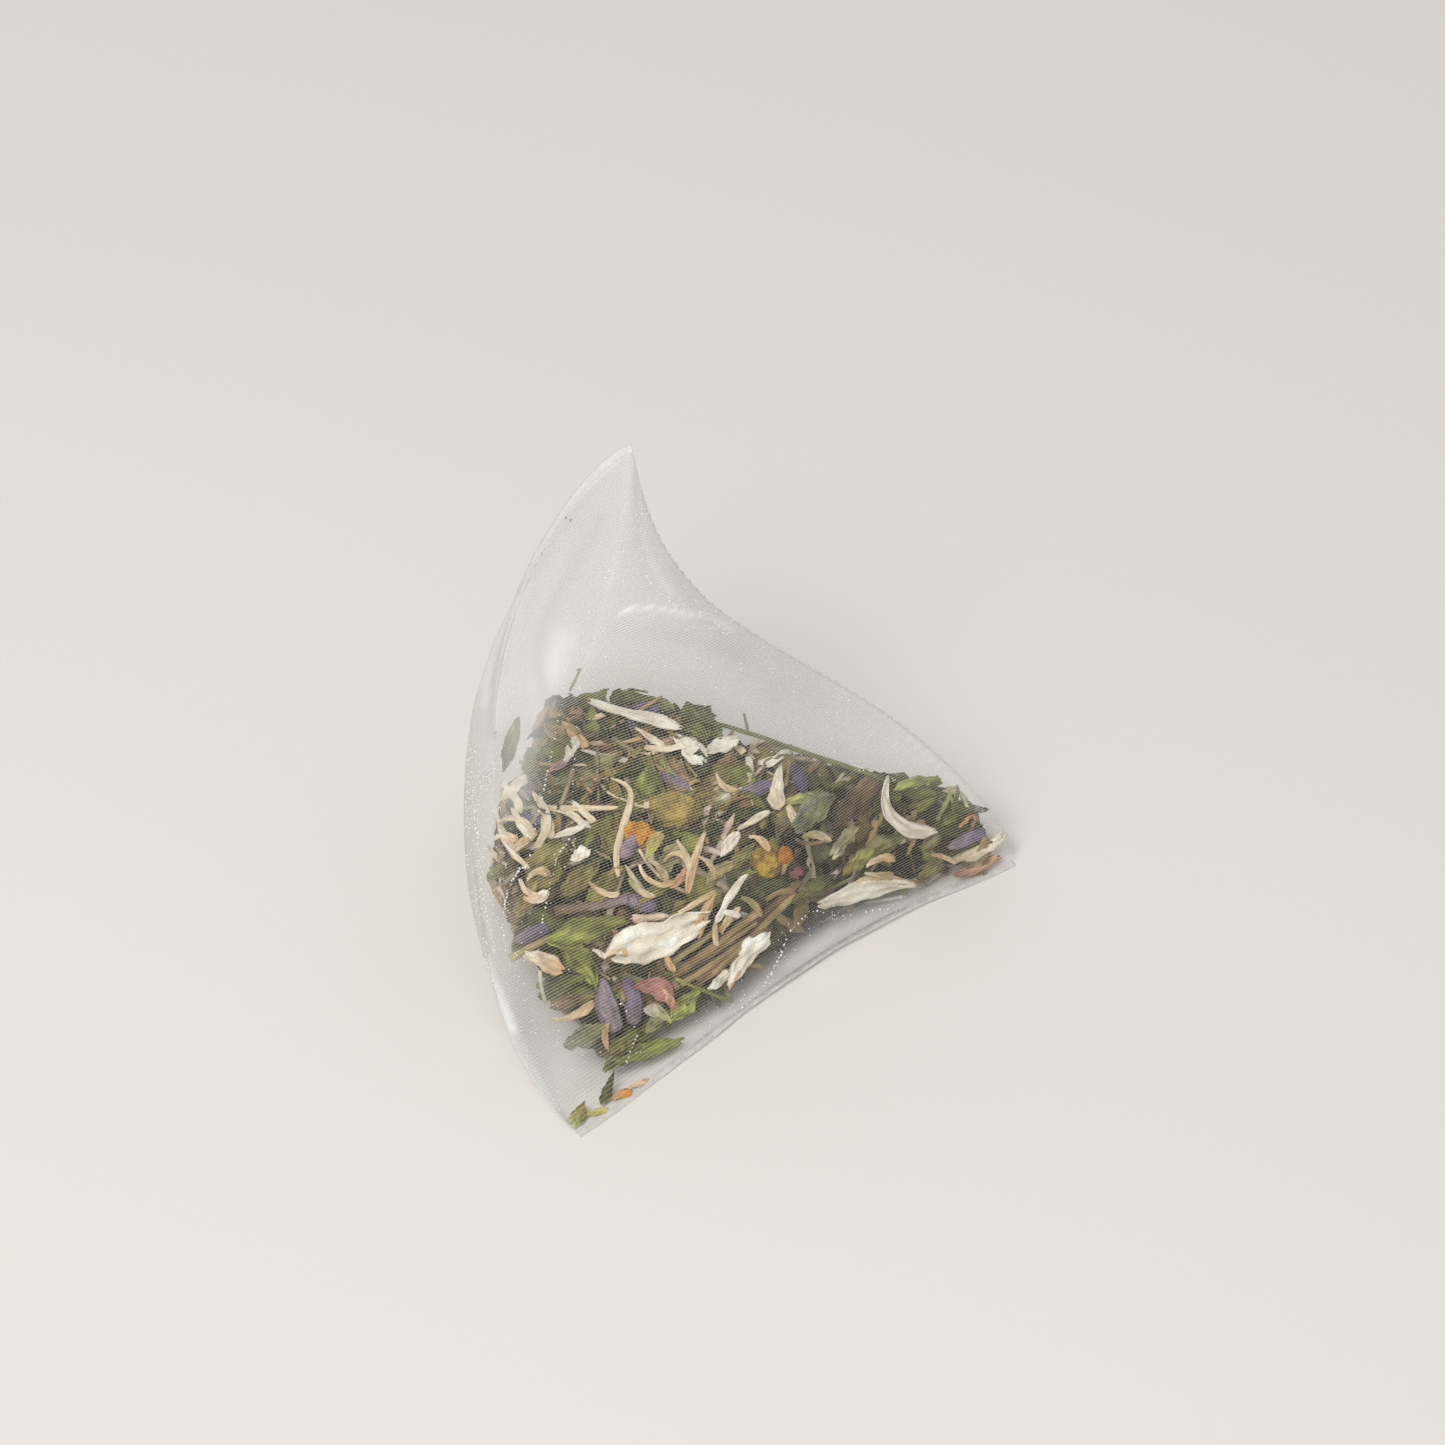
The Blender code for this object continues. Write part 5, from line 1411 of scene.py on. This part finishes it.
class TEABAG_OT_loose_herbs(bpy.types.Operator):
    """Scatters the small cut herb against the cloth and over the heap."""
    bl_idname = "teabag.loose_herbs"
    bl_label = "Loose Herbs"

    def execute(self, context):
        sizes = context.scene.teabag_herb
        self.seats = Seats()
        chance = np.random.default_rng(11)
        herbs = Herbs()
        for kind, share, lengths, widths, colours in MIXTURE:
            self.pressed(herbs, kind, int(share * sizes.pressed), lengths, widths, colours,
                         sizes.deepest, chance)
            self.on_top(herbs, kind, int(share * sizes.on_top), lengths, widths, colours, chance)
        herbs.build("scattered_", FLAKE_WALL)
        return {"FINISHED"}

    def shapes(self, kind, count, lengths, widths, chance):
        """Local coordinates in metres, a row for each piece."""
        if kind in FLAT_KINDS:
            x, y, z = flake_shape(count, chance)
        else:
            x, y, z = rod_shape(count, chance, kind == "bud")
        length = chance.uniform(*lengths, (count, 1)) * 0.001
        width = chance.uniform(*widths, (count, 1)) * 0.001
        flat = [field.reshape(count, -1) for field in np.broadcast_arrays(x, y, z)]
        return flat[0] * length, flat[1] * width, flat[2] * width

    def keep_inside(self, herbs, kind, points, colours, chance):
        """Adds the pieces that lie wholly in the herbs' outline, each in one of the colours."""
        count, points_each = points.shape[:2]
        keep = in_outline(pixels_of(points), HERB_OUTLINE).all(axis=1)
        picks = np.array(colours)[chance.integers(0, len(colours), count)]
        picks = picks * chance.uniform(0.6, 1.3, (count, 1)) * chance.uniform(0.93, 1.07, (count, 3))
        one = grid_faces(*FLAKE_GRID) if kind in FLAT_KINDS else rod_faces()
        herbs.add(kind, tucked(points[keep], PIECE_CLEAR), repeated(one, keep.sum(), points_each),
                  np.repeat(picks[keep], points_each, axis=0))

    def pressed(self, herbs, kind, count, lengths, widths, colours, deepest, chance):
        """Pieces laid under the cloth in its own two directions.

        Places come from random thread crossings whose cloth is lower than the
        heap's top. A piece's own x and y turn into steps round and along the
        tube, so it follows the cloth, and its height goes under the cloth.
        """
        across = chance.uniform(0.0, 2.0, count * 6)
        along = chance.uniform(0.05, 0.95, count * 6)
        places, _ = SKIN.under(across, along, np.zeros(len(across)))
        low = places[:, 2] < heap_top(places) + chance.normal(-0.0006, 0.0008, len(places))
        low &= np.linalg.norm(places - NEAR, axis=1) > CORNER_ROOM
        across, along = across[low][:count], along[low][:count]
        count = len(across)
        x, y, z = self.shapes(kind, count, lengths, widths, chance)
        turn = chance.uniform(0, 2 * np.pi, (count, 1))
        steps_round = (x * np.cos(turn) - y * np.sin(turn)) / WELD_LENGTH
        steps_along = (x * np.sin(turn) + y * np.cos(turn)) / TUBE_LENGTH
        depth = SHALLOWEST + chance.power(1.3, (count, 1)) * (deepest - SHALLOWEST)
        tilt = chance.uniform(-0.22, 0.22, (count, 2))
        under = depth + z + np.abs(z.min(axis=1, keepdims=True)) + x * tilt[:, :1] + y * tilt[:, 1:]
        under = np.maximum(under, 0.00025)
        t = along[:, None] + steps_along
        points, normals = SKIN.under(across[:, None] + steps_round, np.clip(t, 0.012, 0.988), under)
        shown = (normals * AHEAD).sum(axis=-1).mean(axis=1) < 0
        points = points - normals * (shown * FRONT_DEPTH)[:, None, None]
        points[..., 2] = np.maximum(points[..., 2], FLAKE_FLOOR)
        self.keep_inside(herbs, kind, points, colours, chance)

    def on_top(self, herbs, kind, count, lengths, widths, colours, chance):
        """Pieces that lie on the heap's top, tilted at random, clear of the cloth."""
        weights = chance.dirichlet((1.0, 1.0, 1.0), count * 3)
        places = self.seats.tops(weights @ np.array([NEAR, RIGHT, LEFT]))[:count]
        count = len(places)
        if not count:
            return
        x, y, z = self.shapes(kind, count, lengths, widths, chance)
        turn = chance.uniform(0, 2 * np.pi, count)
        ahead = unit(np.stack([np.cos(turn), np.sin(turn), chance.uniform(-0.35, 0.35, count)], -1))
        up = unit(np.stack([chance.normal(0, 0.3, count), chance.normal(0, 0.3, count),
                            np.ones(count)], -1))
        side = unit(np.cross(up, ahead))
        up = np.cross(ahead, side)
        places = places + np.array([0, 0, 1.0]) * chance.uniform(-0.0006, 0.0012, (count, 1))
        points = (places[:, None] + x[..., None] * ahead[:, None] + y[..., None] * side[:, None]
                  + z[..., None] * up[:, None])
        self.keep_inside(herbs, kind, points, colours, chance)


# The herbs' outline, drawn in towards the pixel (740, 880) and moved 10 pixels right
CORE_OUTLINE = [(10 + 0.975 * (x - 740) + 740, 0.965 * (y - 880) + 880) for x, y in HERB_OUTLINE]


def core_mesh():
    """The CAD heap's surface cut finer, sunk by a depth and by lumps, and kept inside.

    Points beyond the outline are drawn towards the middle in small steps.
    """
    shape = bmesh.new()
    shape.from_mesh(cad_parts["cut_herb_heap"].data)
    bmesh.ops.remove_doubles(shape, verts=shape.verts, dist=0.00001)
    bmesh.ops.recalc_face_normals(shape, faces=shape.faces)
    for _ in range(3):
        bmesh.ops.subdivide_edges(shape, edges=shape.edges, cuts=1, use_grid_fill=True)
    bmesh.ops.triangulate(shape, faces=shape.faces)
    mesh = bpy.data.meshes.new("herb_dust_and_shade")
    shape.to_mesh(mesh)
    shape.free()
    points = np.zeros(len(mesh.vertices) * 3, np.float32)
    normals = np.zeros_like(points)
    mesh.vertices.foreach_get("co", points)
    mesh.vertices.foreach_get("normal", normals)
    points, normals = points.reshape(-1, 3), normals.reshape(-1, 3)
    lumps = 0.0009 * np.abs(waves(points, 0.0035, 41)) + 0.0003 * waves(points, 0.0012, 43)
    points = points - normals * (CORE_DEPTH + lumps)[:, None]
    points[:, 2] = np.maximum(points[:, 2], CORE_FLOOR)
    middle = points.mean(axis=0)
    for _ in range(60):
        beyond = ~in_outline(pixels_of(points), CORE_OUTLINE)
        points[beyond] += (middle - points[beyond]) * 0.03
    points = tucked(points, CORE_CLEAR)
    mesh.vertices.foreach_set("co", points.astype(np.float32).ravel())
    mesh.shade_smooth()
    return mesh


def core_material(colour):
    """Herb dust, near black as painted shade of the heap's deep gaps: dark patches, paler grains, and
    flecks of leaf and straw.
    """
    finish = Finish("herb_dust_and_shade", 0.95, Specular_IOR_Level=0.1)
    grains = spread(finish.noise(0.0007, 4.0, 0.7), 0.38, 0.64)
    paler = tuple(channel * 2.2 for channel in colour)
    dark = tuple(channel * 0.45 for channel in colour)
    shade = finish.mix(spread(finish.noise(0.0022, 3.0), 0.35, 0.65), dark, colour)
    green, straw = (tuple(channel * 0.7 for channel in tint) for tint in (OLIVE, TAN))
    fleck = finish.mix(spread(finish.noise(0.0045, 2.0), 0.45, 0.55), green, straw)
    flecks = spread(finish.noise(0.0013, 1.5), 0.58, 0.63)
    dust = finish.mix(grains * 0.6, shade, paler)
    finish.set(Base_Color=finish.mix(flecks * 0.85, dust, fleck))
    finish.bump(finish.noise(0.0006, 5.0, 0.7), 0.0004)
    return finish.material


class TEABAG_OT_heap(bpy.types.Operator):
    """Builds the crumbly core that fills the space behind the pieces."""
    bl_idname = "teabag.heap"
    bl_label = "Herb Dust"

    def execute(self, context):
        mesh = core_mesh()
        # The core's near-black colour is painted shade of the deep gaps between the pieces, over the
        # real heap
        mesh.materials.append(core_material(tuple(context.scene.teabag_herb.dust_and_shade_colour)))
        item = bpy.data.objects.new("herb_dust_and_shade", mesh)
        context.scene.collection.objects.link(item)
        finish_piece(item, "cut_herb", "cut_herb_heap")
        return {"FINISHED"}


# Dark crumbs caught in the mesh: pixel and size in pixels
CRUMBS = ((562, 514, 4), (569, 520, 4), (566, 524, 2), (539, 551, 4), (533, 565, 3), (494, 732, 3),
          (501, 771, 3), (476, 786, 2), (488, 919, 3), (727, 1020, 3), (541, 546, 2))
# Height and width of a crumb's rings, in shares of its radius
CRUMB_RINGS = ((-0.35, 0.5), (-0.1, 1.0), (0.15, 0.9), (0.3, 0.4))


class TEABAG_OT_crumbs(bpy.types.Operator):
    """Adds the few dark crumbs that cling to the inside of the mesh."""
    bl_idname = "teabag.crumbs"
    bl_label = "Crumbs"

    def execute(self, context):
        seats = Seats()
        chance = np.random.default_rng(17)
        herbs = Herbs()
        turns = np.linspace(0, 2 * np.pi, 7)[:-1, None]
        for x, y, size in CRUMBS:
            place, normal, _ = seats.on_cloth((x, y))
            place = place - normal * 0.0002
            side = unit(np.cross(normal, direction(chance.uniform(0, 360))))
            rise = np.cross(normal, side)
            radius = size * PIXEL / 2
            rings = [radius * width * (np.cos(turns) * side + 0.5 * np.sin(turns) * rise)
                     * chance.uniform(0.7, 1.3, (6, 1)) + np.array(normal) * radius * high
                     for high, width in CRUMB_RINGS]
            points, faces = closed_tube(np.array(place) + np.stack(rings))
            herbs.add("leaf", points, faces, DARK_BROWN)
        herbs.build("crumbs_")
        return {"FINISHED"}


FLOOR_HALF = 3.0
LAMP_PLACE = (-0.25, -0.42, 0.75)
LAMP_SIZE = 0.40
LAMP_POWER = 5.3
LAMP_COLOUR = (1.0, 0.995, 0.985)
SKY_COLOUR = (0.985, 0.99, 1.0, 1.0)
SKY_STRENGTH = 0.47


class TEABAG_OT_stage(bpy.types.Operator):
    """Lays the floor and sets the lamp, the sky and the camera."""
    bl_idname = "teabag.stage"
    bl_label = "Stage"

    def execute(self, context):
        sizes = context.scene.teabag_stage
        scene = context.scene
        scene.view_settings.view_transform = "Standard"
        corners = FLOOR_HALF * np.array([[-1.0, -1, 0], [1, -1, 0], [1, 1, 0], [-1, 1, 0]])
        corners[:, 2] = -0.00002
        finish = Finish("paper_floor", 0.9, Specular_IOR_Level=0.1)
        colour = tuple(sizes.floor_colour)
        clouds = spread(finish.noise(0.25, 2.0), 0.3, 0.7)
        finish.set(Base_Color=finish.mix(clouds, tuple(c * 0.99 for c in colour), colour))
        floor = mesh_piece("floor", corners, np.array([[0, 1, 2, 3]]), finish.material)
        self.lamp(scene)
        world = bpy.data.worlds.new("sky")
        scene.world = world
        world.use_nodes = True
        background = world.node_tree.nodes["Background"]
        background.inputs["Color"].default_value = SKY_COLOUR
        background.inputs["Strength"].default_value = SKY_STRENGTH
        self.camera(scene, sizes.lens)
        return {"FINISHED"}

    def lamp(self, scene):
        """One large soft lamp that looks at the bag."""
        data = bpy.data.lights.new("key", "AREA")
        data.size = LAMP_SIZE
        data.energy = LAMP_POWER
        data.color = LAMP_COLOUR
        lamp = bpy.data.objects.new("key", data)
        lamp.location = LAMP_PLACE
        lamp.rotation_mode = "QUATERNION"
        way = Vector((0, 0, 0.01)) - Vector(LAMP_PLACE)
        lamp.rotation_quaternion = way.to_track_quat("-Z", "Y")
        scene.collection.objects.link(lamp)

    def camera(self, scene, lens):
        """The photograph's camera."""
        data = bpy.data.cameras.new("photo_camera")
        data.lens = lens
        data.sensor_width = SENSOR
        data.clip_start, data.clip_end = 0.01, 20.0
        camera = bpy.data.objects.new("photo_camera", data)
        camera.location = CAMERA_PLACE
        camera.rotation_euler = (math.radians(90.0 - CAMERA_DIP), 0.0, math.radians(-CAMERA_HEADING))
        scene.collection.objects.link(camera)
        scene.camera = camera


class TEABAG_PT_panel(bpy.types.Panel):
    """Lists the pieces of the tea bag and their sizes."""
    bl_idname = "TEABAG_PT_panel"
    bl_label = "Tea Bag"
    bl_space_type = "VIEW_3D"
    bl_region_type = "UI"
    bl_category = "Tea Bag"

    def draw(self, context):
        scene = context.scene
        for group in (scene.teabag_cloth, scene.teabag_herb, scene.teabag_stage):
            box = self.layout.box()
            for name in group.__annotations__:
                box.prop(group, name)
        for step in STEPS:
            self.layout.operator(step.bl_idname)


STEPS = (TEABAG_OT_cloth, TEABAG_OT_welds, TEABAG_OT_heap, TEABAG_OT_shown_herbs,
         TEABAG_OT_loose_herbs, TEABAG_OT_crumbs, TEABAG_OT_stage)
GROUPS = {"teabag_cloth": ClothSettings, "teabag_herb": HerbSettings,
          "teabag_stage": StageSettings}


CLASSES = (*GROUPS.values(), *STEPS, TEABAG_PT_panel)


def register():
    """Registers the classes and hangs the settings on the scene."""
    for kind in CLASSES:
        bpy.utils.register_class(kind)
    for name, group in GROUPS.items():
        setattr(bpy.types.Scene, name, bpy.props.PointerProperty(type=group))


def unregister():
    """Takes the settings and the classes away again."""
    for name in GROUPS:
        delattr(bpy.types.Scene, name)
    for kind in reversed(CLASSES):
        bpy.utils.unregister_class(kind)


def main():
    """Builds everything."""
    register()
    bpy.ops.teabag.cloth()
    bpy.ops.teabag.welds()
    bpy.ops.teabag.heap()
    bpy.ops.teabag.shown_herbs()
    bpy.ops.teabag.loose_herbs()
    bpy.ops.teabag.crumbs()
    bpy.ops.teabag.stage()
    bpy.context.view_layer.update()


if __name__ == "__main__":
    main()
